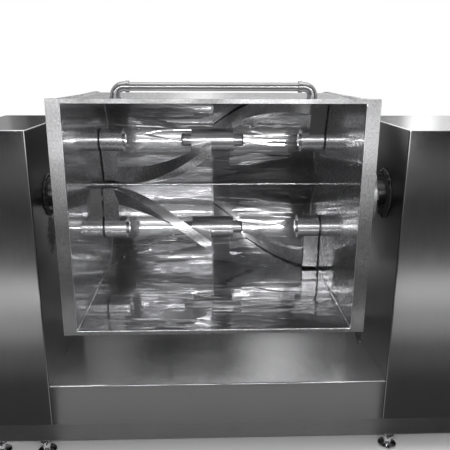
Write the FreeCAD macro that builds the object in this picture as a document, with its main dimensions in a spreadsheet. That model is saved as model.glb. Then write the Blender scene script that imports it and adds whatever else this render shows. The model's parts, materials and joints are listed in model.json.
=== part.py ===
import FreeCAD, Part
import math
import os
import Sketcher

# Horizontal dough mixer: a trough with a W-shaped bottom and two helical rotors, hung on trunnions
# between two drive cabinets. It is modelled with the trough tipped forward for emptying.
# X runs along the trough, Y from the operator's side to the back, Z up from the floor.
# The origin is on the floor, in the middle of the machine.

Vector = FreeCAD.Vector
doc = FreeCAD.newDocument("DoughMixer")
sheet = doc.addObject("Spreadsheet::Sheet", "Sizes")

# Driving sizes in millimetres, unless the note says otherwise
drivingSizes = [
    ("trough_length", 860, "inside length of the trough"),
    ("trough_radius", 173, "inside radius of each half round of the bottom"),
    ("rotor_spacing", 350, "distance between the two rotor axes"),
    ("rotor_depth", 568, "mouth of the trough to the rotor axes"),
    ("trough_wall", 4, "sheet of the trough"),
    ("end_plate", 12, "thickness of the trough's end plates"),
    ("end_margin", 8, "how far an end plate stands past the inside of the trough"),
    ("rim_side", 40, "width of the rim's side flanges"),
    ("rim_edge", 12, "width of the rim's long edges"),
    ("rim_thick", 14, "depth of the rim"),
    ("gusset_length", 330, "length of the gussets behind the rim's side flanges"),
    ("trunnion_height", 967, "floor to the tilt axis"),
    ("left_room", 126, "rim to the left cabinet"),
    ("right_room", 163, "rim to the right cabinet"),
    ("left_width", 250, "width of the left cabinet"),
    ("right_width", 430, "width of the right cabinet"),
    ("cabinet_depth", 550, "front to back of both cabinets"),
    ("cabinet_front", 202, "tilt axis to the front of the cabinets"),
    ("cabinet_top", 1219, "floor to the top of the cabinets"),
    ("cabinet_sheet", 3, "sheet of the cabinets, doors and table"),
    ("bend_radius", 5, "outer radius of the folds in that sheet"),
    ("return_lip", 20, "lip around the rear opening of a cabinet"),
    ("table_height", 301, "floor to the top of the table"),
    ("foot_height", 70, "floor to the underside of the base frame"),
    ("rail_width", 60, "width of a base rail"),
    ("rail_height", 70, "height of a base rail"),
    ("door_gap", 2, "cabinet to the rear door"),
    ("door_depth", 16, "folded depth of a rear door"),
    ("latch_reach", 22, "how far a latch handle stands off its door"),
    ("hinge_radius", 6, "radius of a door hinge barrel"),
    ("pin_radius", 3.5, "radius of a door hinge pin"),
    ("shaft_radius", 30, "radius of the rotor shafts"),
    ("trunnion_radius", 45, "radius of the trunnions"),
    ("drive_radius", 25, "radius of the drive shaft"),
    ("running", 0.05, "radial clearance of a shaft in its bearing"),
    ("gear_module", 6, "module of the gears"),
    ("gear_teeth", 40, "teeth of the drive gear and of both rotor gears"),
    ("idler_teeth", 15, "teeth of the idler"),
    ("gear_face", 28, "face width of a gear"),
    ("blade_outer", 166, "outer radius of the blades"),
    ("blade_inner", 104, "inner radius of the blades"),
    ("blade_width", 56, "width of a blade along the rotor axis"),
    ("blade_pitch", 1390, "pitch of the blades' helix"),
    ("blade_gap", 6, "middle of the trough to the inner end of a blade"),
    ("hub_radius", 45, "radius of the end hubs"),
    ("hub_length", 85, "length of an end hub"),
    ("hub_gap", 4, "end plate to the end hub"),
    ("arm_width", 60, "width of an arm across the rotor axis"),
    ("arm_thick", 58, "thickness of an arm along the rotor axis"),
    ("centre_radius", 43.5, "radius of the centre hub"),
    ("centre_length", 163, "length of the centre hub's body"),
    ("tip_radius", 24.5, "radius of the centre hub's turned tips"),
    ("tip_length", 38, "length of each turned tip"),
    ("tip_round", 8, "rounding of the turned tips' ends"),
    ("rotor_phase", 18, "upper rotor at rest, degrees past the place where its arms are upright"),
    ("handle_radius", 12.5, "radius of the handle's tube"),
    ("handle_half", 290, "middle of the handle to the centre of a leg"),
    ("handle_rise", 42, "inside of the trough's wall to the handle's centre"),
    ("handle_back", 95, "mouth of the trough to the handle"),
    ("elbow_radius", 26, "bend of an elbow"),
    ("fitting_radius", 17, "radius of an elbow's collars"),
    ("motor_pulley_radius", 62, "outer radius of the motor's pulley"),
    ("gear_pulley_radius", 112, "outer radius of the reducer's pulley"),
    ("belt_count", 3, "number of belts"),
    ("belt_pitch", 13, "distance between two belts"),
    ("button_radius", 11, "radius of a push button"),
    ("button_travel", 5, "travel of a push button"),
]
for row, (alias, value, note) in enumerate(drivingSizes, start=1):
    sheet.set(f"A{row}", note)
    sheet.set(f"B{row}", str(value))
    sheet.setAlias(f"B{row}", alias)
doc.recompute()


class Size:
    """A number that keeps the formula it came from, so that a property can be bound to it."""

    def __init__(self, value, text):
        self.value = float(value)
        self.text = text

    def __add__(self, other):
        other = size(other)
        return Size(self.value + other.value, f"({self.text} + {other.text})")

    def __radd__(self, other):
        return size(other) + self

    def __sub__(self, other):
        other = size(other)
        return Size(self.value - other.value, f"({self.text} - {other.text})")

    def __rsub__(self, other):
        return size(other) - self

    def __mul__(self, other):
        other = size(other)
        return Size(self.value * other.value, f"({self.text} * {other.text})")

    def __rmul__(self, other):
        return size(other) * self

    def __truediv__(self, other):
        other = size(other)
        return Size(self.value / other.value, f"({self.text} / {other.text})")

    def __neg__(self):
        return Size(-self.value, f"(0 - {self.text})")


def size(number):
    return number if isinstance(number, Size) else Size(number, f"({float(number):.6f})")


def root(number):
    return Size(math.sqrt(number.value), f"sqrt({number.text})")


class Sheet:
    pass


s = Sheet()
for alias, value, note in drivingSizes:
    setattr(s, alias, Size(sheet.get(alias), f"Sizes.{alias}"))

# Stations that everything is placed by
gearCentres = s.gear_module * s.gear_teeth        # drive gear to a rotor gear
halfSpacing = s.rotor_spacing / 2
trunnionOffset = s.rotor_depth - root(gearCentres * gearCentres - halfSpacing * halfSpacing)
frontReach = trunnionOffset
rearReach = s.cabinet_depth - s.cabinet_front + s.door_gap + s.door_depth + s.latch_reach
halfLength = s.trough_length / 2
plateFace = halfLength + s.end_plate              # outer face of an end plate, from the middle
leftGap = halfLength + s.rim_side + s.left_room   # middle of the trough to the left cabinet
rightGap = halfLength + s.rim_side + s.right_room
centreX = (leftGap + s.left_width - rightGap - s.right_width) / 2
tiltY = (frontReach - rearReach) / 2
tiltZ = s.trunnion_height
mouthY = tiltY - trunnionOffset
rotorY = mouthY + s.rotor_depth
lowZ = tiltZ - halfSpacing
highZ = tiltZ + halfSpacing
insideTop = highZ + s.trough_radius
insideBottom = lowZ - s.trough_radius
frontY = tiltY - s.cabinet_front
rearY = frontY + s.cabinet_depth
frameTop = s.foot_height + s.rail_height
leftInner = centreX - leftGap
leftOuter = leftInner - s.left_width
rightInner = centreX + rightGap
rightOuter = rightInner + s.right_width

# Control panel and cable gland
panelWidth = 130
panelHeight = 220
panelThick = 8
panelX = rightOuter - 20 - panelWidth
panelZ = s.cabinet_top - 120 - panelHeight
glandIn = 90                    # gland to the rear of the cabinet
glandUp = 60                    # and above its underside
glandBore = 8

# Doors, hinges and latches
hingeOut = 7                    # cabinet's side to the hinge axis
hingeY = rearY + 1              # hinge axis, between cabinet and door
barrelHeight = 30
latchStem = 6
camThick = 6
latchZ = (frameTop + s.cabinet_top) / 2
hingeHeights = (frameTop + 120, s.cabinet_top - 180)

# Bearing posts
postThick = 20
postHalf = 118
ribReach = 45
ribDrop = 200
ribThick = 12

# Ends of the trough, tilt gearbox and gear case
sealRadius = 45
gearboxBore = 40
gearboxNear = 94                       # left cabinet's inner face to the tilt gearbox
gearboxFar = 190                       # and to the end of the trunnion
gearClear = 6
planeA = plateFace + 38                # first gear plane, from the middle of the trough
planeB = planeA + s.gear_face + gearClear
caseWall = 8
caseFace = planeB + s.gear_face + 22   # outer face of the gear case

# Rotor halves: side, height, turn of the whole half, hand of its helix
armAxis = FreeCAD.Rotation(Vector(1, 0, 0), 90)
phase = FreeCAD.Rotation(Vector(1, 0, 0), s.rotor_phase.value)
halves = {
    "lower_left": (-1, lowZ, FreeCAD.Rotation(), False),
    "lower_right": (1, lowZ, FreeCAD.Rotation(Vector(0, 1, 0), 180), True),
    "upper_left": (-1, highZ, phase * FreeCAD.Rotation(Vector(1, 0, 0), 180), True),
    "upper_right": (1, highZ, phase * FreeCAD.Rotation(Vector(0, 0, 1), 180), False),
}
webLength = 74

# Drives inside the cabinets
couplingStart = rightGap + 104
reducerStart = couplingStart + 72
motorY = tiltY
motorHeight = 150               # base frame to the motor's shaft
motorZ = frameTop + motorHeight
pulleyX = centreX + reducerStart + 178
motorShaft = 19
motorLength = 272
shelfHalf = 150                 # half width of the motor's plate and of the reducer's shelf
motorRise = 132                 # underside of the motor's feet to its shaft
reducerShaft = 16

parts = []


def bind(item, prop, number):
    item.setExpression(prop, size(number).text)


def place(item, x=0, y=0, z=0, axis=(0, 0, 1), angle=0):
    x, y, z = size(x), size(y), size(z)
    turn = FreeCAD.Rotation(Vector(*axis), angle)
    item.Placement = FreeCAD.Placement(Vector(x.value, y.value, z.value), turn)
    for name, number in (("x", x), ("y", y), ("z", z)):
        item.setExpression(f"Placement.Base.{name}", number.text)
    return item


def named(item, label):
    item.Label = label
    parts.append(item)
    return item


def box(x, y, z, length, width, height):
    item = doc.addObject("Part::Box", "Block")
    for prop, number in (("Length", length), ("Width", width), ("Height", height)):
        bind(item, prop, number)
    return place(item, x, y, z)


def rod(axis, x, y, z, radius, length):
    item = doc.addObject("Part::Cylinder", "Rod")
    bind(item, "Radius", radius)
    bind(item, "Height", length)
    turns = {"X": ((0, 1, 0), 90), "Y": ((1, 0, 0), -90), "Z": ((0, 0, 1), 0)}
    return place(item, x, y, z, *turns[axis])


def fuse(items):
    if len(items) == 1:
        return items[0]
    item = doc.addObject("Part::MultiFuse", "Joined")
    item.Shapes = items
    return item


def cut(base, tools):
    item = doc.addObject("Part::Cut", "Cut")
    item.Base = base
    item.Tool = fuse(tools)
    return item


def group(items):
    item = doc.addObject("Part::Compound", "Group")
    item.Links = items
    return item


def newBody(name):
    return doc.addObject("PartDesign::Body", name)


def sketchOn(body, role):
    plane = [item for item in body.Origin.OriginFeatures if item.Role == role][0]
    sketch = body.newObject("Sketcher::SketchObject", "Sketch")
    sketch.AttachmentSupport = [(plane, "")]
    sketch.MapMode = "FlatFace"
    return sketch


def fix(sketch, kind, geo, pos, number):
    index = sketch.addConstraint(Sketcher.Constraint(kind, -1, 1, geo, pos, size(number).value))
    sketch.setExpression(f"Constraints[{index}]", size(number).text)


def outline(sketch, points):
    """Closed outline. A point is (x, y), or (x, y, cx, cy, turn) where an arc about (cx, cy) leads to it,
    anticlockwise when turn is 1. The arc's centre is fixed along Y for turn 1 or -1."""
    first = sketch.GeometryCount
    count = len(points)
    values = [(size(p[0]).value, size(p[1]).value) for p in points]
    starts, ends = [], []
    for i in range(count):
        x0, y0 = values[i - 1]
        x1, y1 = values[i]
        if len(points[i]) == 2:
            sketch.addGeometry(Part.LineSegment(Vector(x0, y0, 0), Vector(x1, y1, 0)), False)
            starts.append(1)
            ends.append(2)
            continue
        cx, cy = size(points[i][2]).value, size(points[i][3]).value
        angle0 = math.atan2(y0 - cy, x0 - cx)
        angle1 = math.atan2(y1 - cy, x1 - cx)
        circle = Part.Circle(Vector(cx, cy, 0), Vector(0, 0, 1), math.hypot(x0 - cx, y0 - cy))
        if points[i][4] > 0:
            sketch.addGeometry(Part.ArcOfCircle(circle, angle0, angle1), False)
            starts.append(1)
            ends.append(2)
        else:
            sketch.addGeometry(Part.ArcOfCircle(circle, angle1, angle0), False)
            starts.append(2)
            ends.append(1)
    for i in range(count):
        after = (i + 1) % count
        sketch.addConstraint(
            Sketcher.Constraint("Coincident", first + i, ends[i], first + after, starts[after]))
        fix(sketch, "DistanceX", first + i, ends[i], points[i][0])
        fix(sketch, "DistanceY", first + i, ends[i], points[i][1])
        if len(points[i]) > 2:
            x0, y0 = values[i - 1]
            x1, y1 = values[i]
            if abs(x1 - x0) > abs(y1 - y0):
                fix(sketch, "DistanceY", first + i, 3, points[i][3])
            else:
                fix(sketch, "DistanceX", first + i, 3, points[i][2])


def rectangle(sketch, x0, y0, x1, y1):
    outline(sketch, [(x0, y0), (x1, y0), (x1, y1), (x0, y1)])


def circle(sketch, x, y, radius):
    shape = Part.Circle(Vector(size(x).value, size(y).value, 0), Vector(0, 0, 1), size(radius).value)
    index = sketch.addGeometry(shape, False)
    fix(sketch, "DistanceX", index, 3, x)
    fix(sketch, "DistanceY", index, 3, y)
    radiusIndex = sketch.addConstraint(Sketcher.Constraint("Radius", index, size(radius).value))
    sketch.setExpression(f"Constraints[{radiusIndex}]", size(radius).text)


def pad(body, sketch, length):
    feature = body.newObject("PartDesign::Pad", "Pad")
    feature.Profile = sketch
    bind(feature, "Length", length)
    return feature


def pocket(body, sketch, length):
    feature = body.newObject("PartDesign::Pocket", "Pocket")
    feature.Profile = sketch
    feature.Reversed = True
    bind(feature, "Length", length)
    return feature


def turned(profile, axis, x, y, z):
    """Body of revolution. The profile is a list of (along the axis, radius)."""
    body = newBody("Turned")
    sketch = sketchOn(body, "XY_Plane")
    outline(sketch, profile)
    feature = body.newObject("PartDesign::Revolution", "Revolution")
    feature.Profile = sketch
    feature.ReferenceAxis = (sketch, ["H_Axis"])
    feature.Angle = 360
    turns = {"X": ((0, 0, 1), 0), "-X": ((0, 0, 1), 180), "Y": ((0, 0, 1), 90),
             "-Y": ((0, 0, 1), -90), "Z": ((0, 1, 0), -90), "-Z": ((0, 1, 0), 90)}
    return place(body, x, y, z, *turns[axis])


def plate(points, thick, x, circles=()):
    """Plate across the X axis, from x to x + thick, with its outline given as (y, z) points."""
    body = newBody("Plate")
    sketch = sketchOn(body, "YZ_Plane")
    outline(sketch, points)
    for hole in circles:
        circle(sketch, *hole)
    pad(body, sketch, thick)
    return place(body, x)


def foldedBox(x, y, z, length, width, height, radius, isFold):
    """Box with rounded folds. isFold says which of its edges, by their middle, are folds."""
    body = newBody("Folded")
    sketch = sketchOn(body, "XY_Plane")
    rectangle(sketch, 0, 0, length, width)
    block = pad(body, sketch, height)
    doc.recompute()
    folds = [f"Edge{i}" for i, edge in enumerate(block.Shape.Edges, start=1) if isFold(edge.CenterOfMass)]
    fillet = body.newObject("PartDesign::Fillet", "Folds")
    fillet.Base = (block, folds)
    bind(fillet, "Radius", radius)
    return place(body, x, y, z)


# Base frame: two long rails and six cross rails of rectangular tube
def makeBaseFrame():
    inset = s.cabinet_sheet
    long = rightOuter - leftOuter - 2 * inset
    rails = []
    for y in (frontY + inset, rearY - inset - s.rail_width):
        rails.append(box(leftOuter + inset, y, s.foot_height, long, s.rail_width, s.rail_height))
    stations = [leftOuter + inset, leftInner - s.rail_width - 10, centreX - s.rail_width / 2,
                rightInner + 10, (rightInner + rightOuter) / 2, rightOuter - inset - s.rail_width]
    for x in stations:
        rails.append(box(x, frontY + inset, s.foot_height, s.rail_width,
                         s.cabinet_depth - 2 * inset, s.rail_height))
    named(fuse(rails), "base_frame")


# Levelling feet: pad, stem and lock nut under the rails
def makeFeet():
    feet = []
    profile = [(0, 0), (0, 36), (8, 34), (14, 14), (s.foot_height - 12, 14), (s.foot_height - 12, 15),
               (s.foot_height, 15), (s.foot_height, 0)]
    xs = [leftOuter + s.rail_width / 2 + 10, leftInner - s.rail_width / 2 - 10,
          rightInner + s.rail_width / 2 + 10, rightOuter - s.rail_width / 2 - 10]
    for x in xs:
        for y in (frontY + s.rail_width / 2 + 5, rearY - s.rail_width / 2 - 5):
            feet.append(turned(profile, "Z", x, y, 0))
    named(group(feet), "levelling_feet")


# Cabinet: folded sheet box, open below and at the back, where a lip carries the door
def makeCabinet(label, x0, x1, innerX, holeRadius, vents):
    sheetThick = s.cabinet_sheet
    height = s.cabinet_top - frameTop

    def isFold(middle):
        return middle.z > 1 and middle.y < s.cabinet_depth.value - 10

    outer = foldedBox(x0, frontY, frameTop, x1 - x0, s.cabinet_depth, height, s.bend_radius, isFold)
    tools = [
        foldedBox(x0 + sheetThick, frontY + sheetThick, frameTop - 5, x1 - x0 - 2 * sheetThick,
                  s.cabinet_depth - 2 * sheetThick, height - sheetThick + 5,
                  s.bend_radius - sheetThick, isFold),
        box(x0 + s.return_lip, rearY - 2 * sheetThick, frameTop - 5, x1 - x0 - 2 * s.return_lip,
            3 * sheetThick, height - s.return_lip + 5),
        rod("X", innerX - 2, tiltY, tiltZ, holeRadius, sheetThick + 4)]
    if vents:
        for i in range(8):
            tools.append(box(x1 - 5, tiltY - 60, frameTop + 90 + i * 22, 10, 180, 8))
        margin = 10
        tools.append(box(panelX + margin, frontY - 1, panelZ + margin,
                         panelWidth - 2 * margin, sheetThick + 2, panelHeight - 2 * margin))
        tools.append(rod("X", x1 - 5, rearY - glandIn, frameTop + glandUp, glandBore, 10))
    named(cut(outer, tools), label)


# Rear door: shallow folded tray with two hinge barrels on its side
def makeDoor(label, x0, x1, side):
    y0 = rearY + s.door_gap
    z0 = frameTop + 2
    height = s.cabinet_top - frameTop - 4

    def isFold(middle):
        return middle.y > s.door_depth.value - 1

    outer = foldedBox(x0 + 1, y0, z0, x1 - x0 - 2, s.door_depth, height, s.bend_radius, isFold)
    inner = box(x0 + 1 + s.cabinet_sheet, y0 - 1, z0 + s.cabinet_sheet, x1 - x0 - 2 - 2 * s.cabinet_sheet,
                s.door_depth - s.cabinet_sheet + 1, height - 2 * s.cabinet_sheet)
    latchX = x0 + 40 if side > 0 else x1 - 40
    slot = rod("Y", latchX, y0, latchZ, latchStem + 0.1, s.door_depth + 2)
    tray = cut(outer, [inner, slot])
    hingeX = x1 + hingeOut if side > 0 else x0 - hingeOut
    pieces = [tray]
    for z in hingeHeights:
        barrel = rod("Z", hingeX, hingeY, z + 0.3, s.hinge_radius, barrelHeight)
        leafX = hingeX - hingeOut + 1 if side > 0 else hingeX
        leaf = box(leafX - 4 if side > 0 else leafX, hingeY + 2, z + 0.3,
                   hingeOut + 3, 3, barrelHeight)
        bore = rod("Z", hingeX, hingeY, z - 1, s.pin_radius + s.running, barrelHeight + 3)
        pieces.append(cut(fuse([barrel, leaf]), [bore]))
    named(fuse(pieces), label)


# Lift-off hinge halves on the cabinets, each with its pin
def makeHingePins():
    halves = []
    for x, side in ((leftOuter - hingeOut, -1), (rightOuter + hingeOut, 1)):
        for z in hingeHeights:
            barrel = rod("Z", x, hingeY, z - barrelHeight, s.hinge_radius, barrelHeight)
            pin = rod("Z", x, hingeY, z - 5, s.pin_radius, barrelHeight + 4)
            if side > 0:
                leaf = box(x - hingeOut, hingeY - 24, z - barrelHeight, 3, 24, barrelHeight)
            else:
                leaf = box(x + hingeOut - 3, hingeY - 24, z - barrelHeight, 3, 24, barrelHeight)
            halves.append(fuse([barrel, pin, leaf]))
    named(group(halves), "door_hinge_pins")


# Quarter-turn latch, released: a quarter turn swings its cam behind the cabinet's lip
def makeLatch(label, x):
    y0 = rearY + s.door_gap + s.door_depth
    camY = rearY - s.cabinet_sheet - 0.3 - camThick
    stem = rod("Y", x, camY, latchZ, latchStem, y0 - camY + 6)
    knob = rod("Y", x, y0 + 0.3, latchZ, 15, 7)
    grip = box(x - 34, y0 + 7, latchZ - 8, 68, s.latch_reach - 7, 16)
    cam = box(x - 8, camY, latchZ - 32, 16, camThick, 32)
    named(fuse([stem, knob, grip, cam]), label)


# Table between the cabinets, folded down at the front and the back
def makeTable():
    t = s.cabinet_sheet
    top = s.table_height
    bend = s.bend_radius
    front = frontY + bend
    rear = rearY - bend
    points = [(frontY, frameTop), (frontY + t, frameTop), (frontY + t, top - bend),
              (front, top - t, front, top - bend, -1), (rear, top - t),
              (rearY - t, top - bend, rear, top - bend, -1), (rearY - t, frameTop), (rearY, frameTop),
              (rearY, top - bend), (rear, top, rear, top - bend, 1), (front, top),
              (frontY, top - bend, front, top - bend, 1)]
    table = plate(points, rightInner - leftInner - 0.6, leftInner + 0.3)
    named(table, "discharge_table")


# Bearing posts: tapered plates that stand on the base frame, with a stiffening rib at each edge
def makePosts():
    posts = []
    for side in (-1, 1):
        inner = leftInner - 12 - postThick if side < 0 else rightInner + 12
        points = [(tiltY - 170, frameTop), (tiltY + 170, frameTop), (tiltY + postHalf, tiltZ - 140),
                  (tiltY + postHalf, tiltZ + 120), (tiltY - postHalf, tiltZ + 120),
                  (tiltY - postHalf, tiltZ - 140)]
        web = plate(points, postThick, inner, [(tiltY, tiltZ, s.trunnion_radius + 8)])
        outer = inner + postThick if side > 0 else inner - ribReach
        ribs = []
        for y in (tiltY - postHalf, tiltY + postHalf - ribThick):
            ribs.append(box(outer, y, tiltZ - ribDrop, ribReach, ribThick, ribDrop + 100))
        posts.append(fuse([web] + ribs))
    named(group(posts), "bearing_posts")


# Trunnion bearings: flanged housings bolted on the posts
def makeTrunnionBearings():
    bore = s.trunnion_radius + s.running
    housings = []
    for side in (-1, 1):
        start = leftInner - 12 - postThick if side < 0 else rightInner + 12 + postThick
        profile = [(0, bore), (0, 98), (14, 98), (18, 72), (44, 68), (46, 64), (46, bore)]
        housings.append(turned(profile, "X" if side > 0 else "-X", start, tiltY, tiltZ))
    named(group(housings), "trunnion_bearings")


# Grease rings on the inner panels, around the trunnions
def makeTrunnionRings():
    rings = []
    for side, radius in ((-1, 63), (1, 77)):
        face = leftInner if side < 0 else rightInner
        bore = s.trunnion_radius + 1
        profile = [(0, bore), (0, radius), (5, radius), (8, radius - 4), (8, bore)]
        rings.append(turned(profile, "X" if side < 0 else "-X", face, tiltY, tiltZ))
    named(group(rings), "trunnion_rings")


# Trough: one sheet rolled to a W-shaped bottom
def makeTroughShell():
    def block(radius, front):
        top = highZ + radius
        bottom = lowZ - radius
        return [box(centreX - halfLength, front, bottom, s.trough_length, rotorY - front, top - bottom),
                rod("X", centreX - halfLength, rotorY, highZ, radius, s.trough_length),
                rod("X", centreX - halfLength, rotorY, lowZ, radius, s.trough_length)]

    outer = fuse(block(s.trough_radius + s.trough_wall, mouthY + s.rim_thick))
    named(cut(outer, block(s.trough_radius, mouthY - 1)), "trough_shell")


# End plates: flat plates that close the W, with a seat for each shaft seal
def makeEndPlates():
    margin = s.end_margin
    radius = s.trough_radius + margin
    front = mouthY + s.rim_thick
    top = highZ + radius
    bottom = lowZ - radius
    points = [(front, bottom), (rotorY, bottom), (rotorY + radius, lowZ, rotorY, lowZ, 1),
              (rotorY + radius, highZ), (rotorY, top, rotorY, highZ, 1), (front, top)]
    holes = [(rotorY, lowZ, sealRadius), (rotorY, highZ, sealRadius)]
    named(plate(points, s.end_plate, centreX - plateFace, holes), "left_end_plate")
    named(plate(points, s.end_plate, centreX + halfLength, holes), "right_end_plate")


# Rim around the mouth
def makeRim():
    body = newBody("Rim")
    sketch = sketchOn(body, "XZ_Plane")
    side = halfLength + s.rim_side
    rectangle(sketch, centreX - side, insideBottom - s.rim_edge, centreX + side, insideTop + s.rim_edge)
    rectangle(sketch, centreX - halfLength, insideBottom, centreX + halfLength, insideTop)
    pad(body, sketch, s.rim_thick)
    place(body, 0, mouthY + s.rim_thick, 0)
    pieces = [body]
    for side in (-1, 1):
        for z in (insideTop + s.end_margin - s.trough_wall, insideBottom - s.end_margin):
            gusset = newBody("Gusset")
            shape = sketchOn(gusset, "XY_Plane")
            near = centreX + side * plateFace
            far = centreX + side * (halfLength + s.rim_side)
            outline(shape, [(near, 0), (far, 0), (near, s.gusset_length)])
            pad(gusset, shape, s.trough_wall)
            pieces.append(place(gusset, 0, mouthY + s.rim_thick, z))
    named(fuse(pieces), "mouth_rim")


# Lug under the rim's right corner, which takes the lid's lock pin
def makeRimLug():
    body = newBody("Lug")
    sketch = sketchOn(body, "XZ_Plane")
    right = centreX + halfLength + s.rim_side
    top = insideBottom - s.rim_edge
    outline(sketch, [(right - 30, top), (right - 14, top - 44), (right - 4, top - 44), (right - 2, top)])
    pad(body, sketch, 8)
    place(body, 0, mouthY + s.rim_thick, 0)
    stud = rod("Y", right - 9, mouthY + 1, top - 36, 4, 6)
    named(fuse([body, stud]), "rim_lug")


# Stiffener bar in the outer valley of the W
def makeRidgeBar():
    radius = s.trough_radius + s.trough_wall
    half = 30
    reach = root(radius * radius - (halfSpacing - half) * (halfSpacing - half))
    bar = box(centreX - halfLength, rotorY + reach, tiltZ - half, s.trough_length, 10, 2 * half)
    named(bar, "ridge_stiffener")


# Handle: tube between two pipe elbows on the trough's upper wall
def makeHandle():
    wallTop = insideTop + s.trough_wall
    y = mouthY + s.handle_back
    z = insideTop + s.handle_rise
    inner = s.handle_half - s.elbow_radius - 16
    tube = rod("X", centreX - inner, y, z, s.handle_radius, 2 * inner)
    named(tube, "handle_tube")
    elbows = []
    for side in (-1, 1):
        x = centreX + side * s.handle_half
        pipe = s.handle_radius + 2
        bendZ = z - s.elbow_radius
        leg = rod("Z", x, y, wallTop, pipe, bendZ - wallTop)
        foot = rod("Z", x, y, wallTop, s.fitting_radius, 8)
        bend = doc.addObject("Part::Torus", "Bend")
        bind(bend, "Radius1", s.elbow_radius)
        bind(bend, "Radius2", pipe)
        bend.Angle3 = 90
        place(bend, x - side * s.elbow_radius, y, bendZ, (1, 0, 0), 90)
        if side < 0:
            turn = FreeCAD.Rotation(Vector(0, 1, 0), -90) * FreeCAD.Rotation(Vector(1, 0, 0), 90)
            bend.Placement = FreeCAD.Placement(bend.Placement.Base, turn)
        start = x - side * s.elbow_radius
        neckX = start if side < 0 else start - 10
        neck = rod("X", neckX, y, z, pipe, 10)
        collarX = start + 6 if side < 0 else start - 16
        collar = rod("X", collarX, y, z, s.fitting_radius, 10)
        collarBore = rod("X", collarX - 20 if side > 0 else collarX + 4, y, z, s.handle_radius, 26)
        elbows.append(cut(fuse([leg, foot, bend, neck, collar]), [collarBore]))
    named(group(elbows), "handle_elbows")


# Trunnions: a flanged stub on the left, a hollow one on the gear case on the right
def makeTrunnions():
    radius = s.trunnion_radius
    leftLength = leftGap + gearboxFar - plateFace
    left = [(0, 0), (0, 95), (14, 95), (16, radius + 8), (30, radius), (leftGap + 92 - plateFace, radius),
            (leftGap + 92 - plateFace, gearboxBore), (leftLength, gearboxBore), (leftLength, 0)]
    named(turned(left, "-X", centreX - plateFace, tiltY, tiltZ), "left_trunnion")
    bore = s.drive_radius + s.running
    length = rightGap + 86 - caseFace
    right = [(0, bore), (0, 95), (14, 95), (16, radius + 8), (30, radius), (length, radius), (length, bore)]
    named(turned(right, "X", centreX + caseFace, tiltY, tiltZ), "right_trunnion")


# Gear case: triangular casing around the drive gear and both rotor gears
def hull(radius):
    """Outline around the drive gear and the two rotor gears, at one radius from each axis."""
    ny = halfSpacing / gearCentres
    nz = (rotorY - tiltY) / gearCentres
    return [(tiltY - radius * ny, tiltZ - radius * nz),
            (rotorY - radius * ny, lowZ - radius * nz),
            (rotorY + radius, lowZ, rotorY, lowZ, 1),
            (rotorY + radius, highZ),
            (rotorY - radius * ny, highZ + radius * nz, rotorY, highZ, 1),
            (tiltY - radius * ny, tiltZ + radius * nz)]


def makeGearCase():
    outside = s.gear_module * (s.gear_teeth / 2 + 1) + 8 + caseWall

    def arcBack(points, radius):
        first = points[0] + (tiltY, tiltZ, 1)
        return [first] + points[1:]

    depth = caseFace - plateFace
    body = newBody("GearCase")
    sketch = sketchOn(body, "YZ_Plane")
    outline(sketch, arcBack(hull(outside), outside))
    circle(sketch, tiltY, tiltZ, s.drive_radius + 2)
    pad(body, sketch, depth)
    hollow = sketchOn(body, "YZ_Plane")
    outline(hollow, arcBack(hull(outside - caseWall), outside - caseWall))
    pocket(body, hollow, depth - 12)
    flange = sketchOn(body, "YZ_Plane")
    outline(flange, arcBack(hull(outside + 8), outside + 8))
    outline(flange, arcBack(hull(outside - 1), outside - 1))
    pad(body, flange, 8)
    named(place(body, centreX + plateFace), "gear_case")


# Rotor bearings: blind housings on the left end plate, open ones inside the gear case
def makeRotorBearings():
    bore = s.shaft_radius + s.running
    housings = []
    for z in (lowZ, highZ):
        blind = [(0, bore), (0, 66), (12, 66), (15, 48), (40, 46), (44, 40), (44, 0), (32, 0), (32, bore)]
        housings.append(turned(blind, "-X", centreX - plateFace, rotorY, z))
        openOne = [(0, bore), (0, 66), (12, 66), (15, 48), (32, 46), (32, bore)]
        housings.append(turned(openOne, "X", centreX + plateFace, rotorY, z))
    named(group(housings), "rotor_bearings")


def makeSeals():
    bore = s.shaft_radius + s.running
    rings = []
    for z in (lowZ, highZ):
        for x in (centreX - plateFace + 1, centreX + halfLength + 1):
            profile = [(0, bore), (0, sealRadius - 0.05), (10, sealRadius - 0.05), (10, bore)]
            rings.append(turned(profile, "X", x, rotorY, z))
    named(group(rings), "shaft_seals")


# Rotors. Each half is laid out along +X from the end hub, with the arm pointing along +Y,
# then turned into place. The four halves mirror each other.


def seatHalf(item, half):
    side, z, turn, leftHanded = halves[half]
    whole = turn * armAxis
    place(item, centreX + side * (halfLength - s.hub_gap), rotorY, z)
    item.Placement = FreeCAD.Placement(item.Placement.Base, whole)
    return item


def makeArm(half):
    body = newBody("Arm")
    sketch = sketchOn(body, "YZ_Plane")
    tip = s.blade_outer - 1
    reach = root(tip * tip - s.arm_width * s.arm_width / 4)
    halfWidth = s.arm_width / 2
    outline(sketch, [(0, -halfWidth), (reach, -halfWidth), (reach, halfWidth, 0, 0, 1), (0, halfWidth)])
    pad(body, sketch, s.arm_thick)
    hub = sketchOn(body, "YZ_Plane")
    circle(hub, 0, 0, s.hub_radius)
    pad(body, hub, s.hub_length)
    hole = sketchOn(body, "YZ_Plane")
    circle(hole, 0, 0, s.shaft_radius)
    pocket(body, hole, s.hub_length)
    return seatHalf(body, half)


def helixBar(body, inner, outer, leftHanded, height):
    sketch = sketchOn(body, "XY_Plane")
    rectangle(sketch, 0, inner, s.blade_width, outer)
    bar = body.newObject("PartDesign::AdditiveHelix", "Helix")
    bar.Profile = sketch
    bar.ReferenceAxis = (sketch, ["H_Axis"])
    bar.Mode = 0
    bar.LeftHanded = leftHanded
    bind(bar, "Pitch", s.blade_pitch)
    bind(bar, "Height", height)


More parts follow.
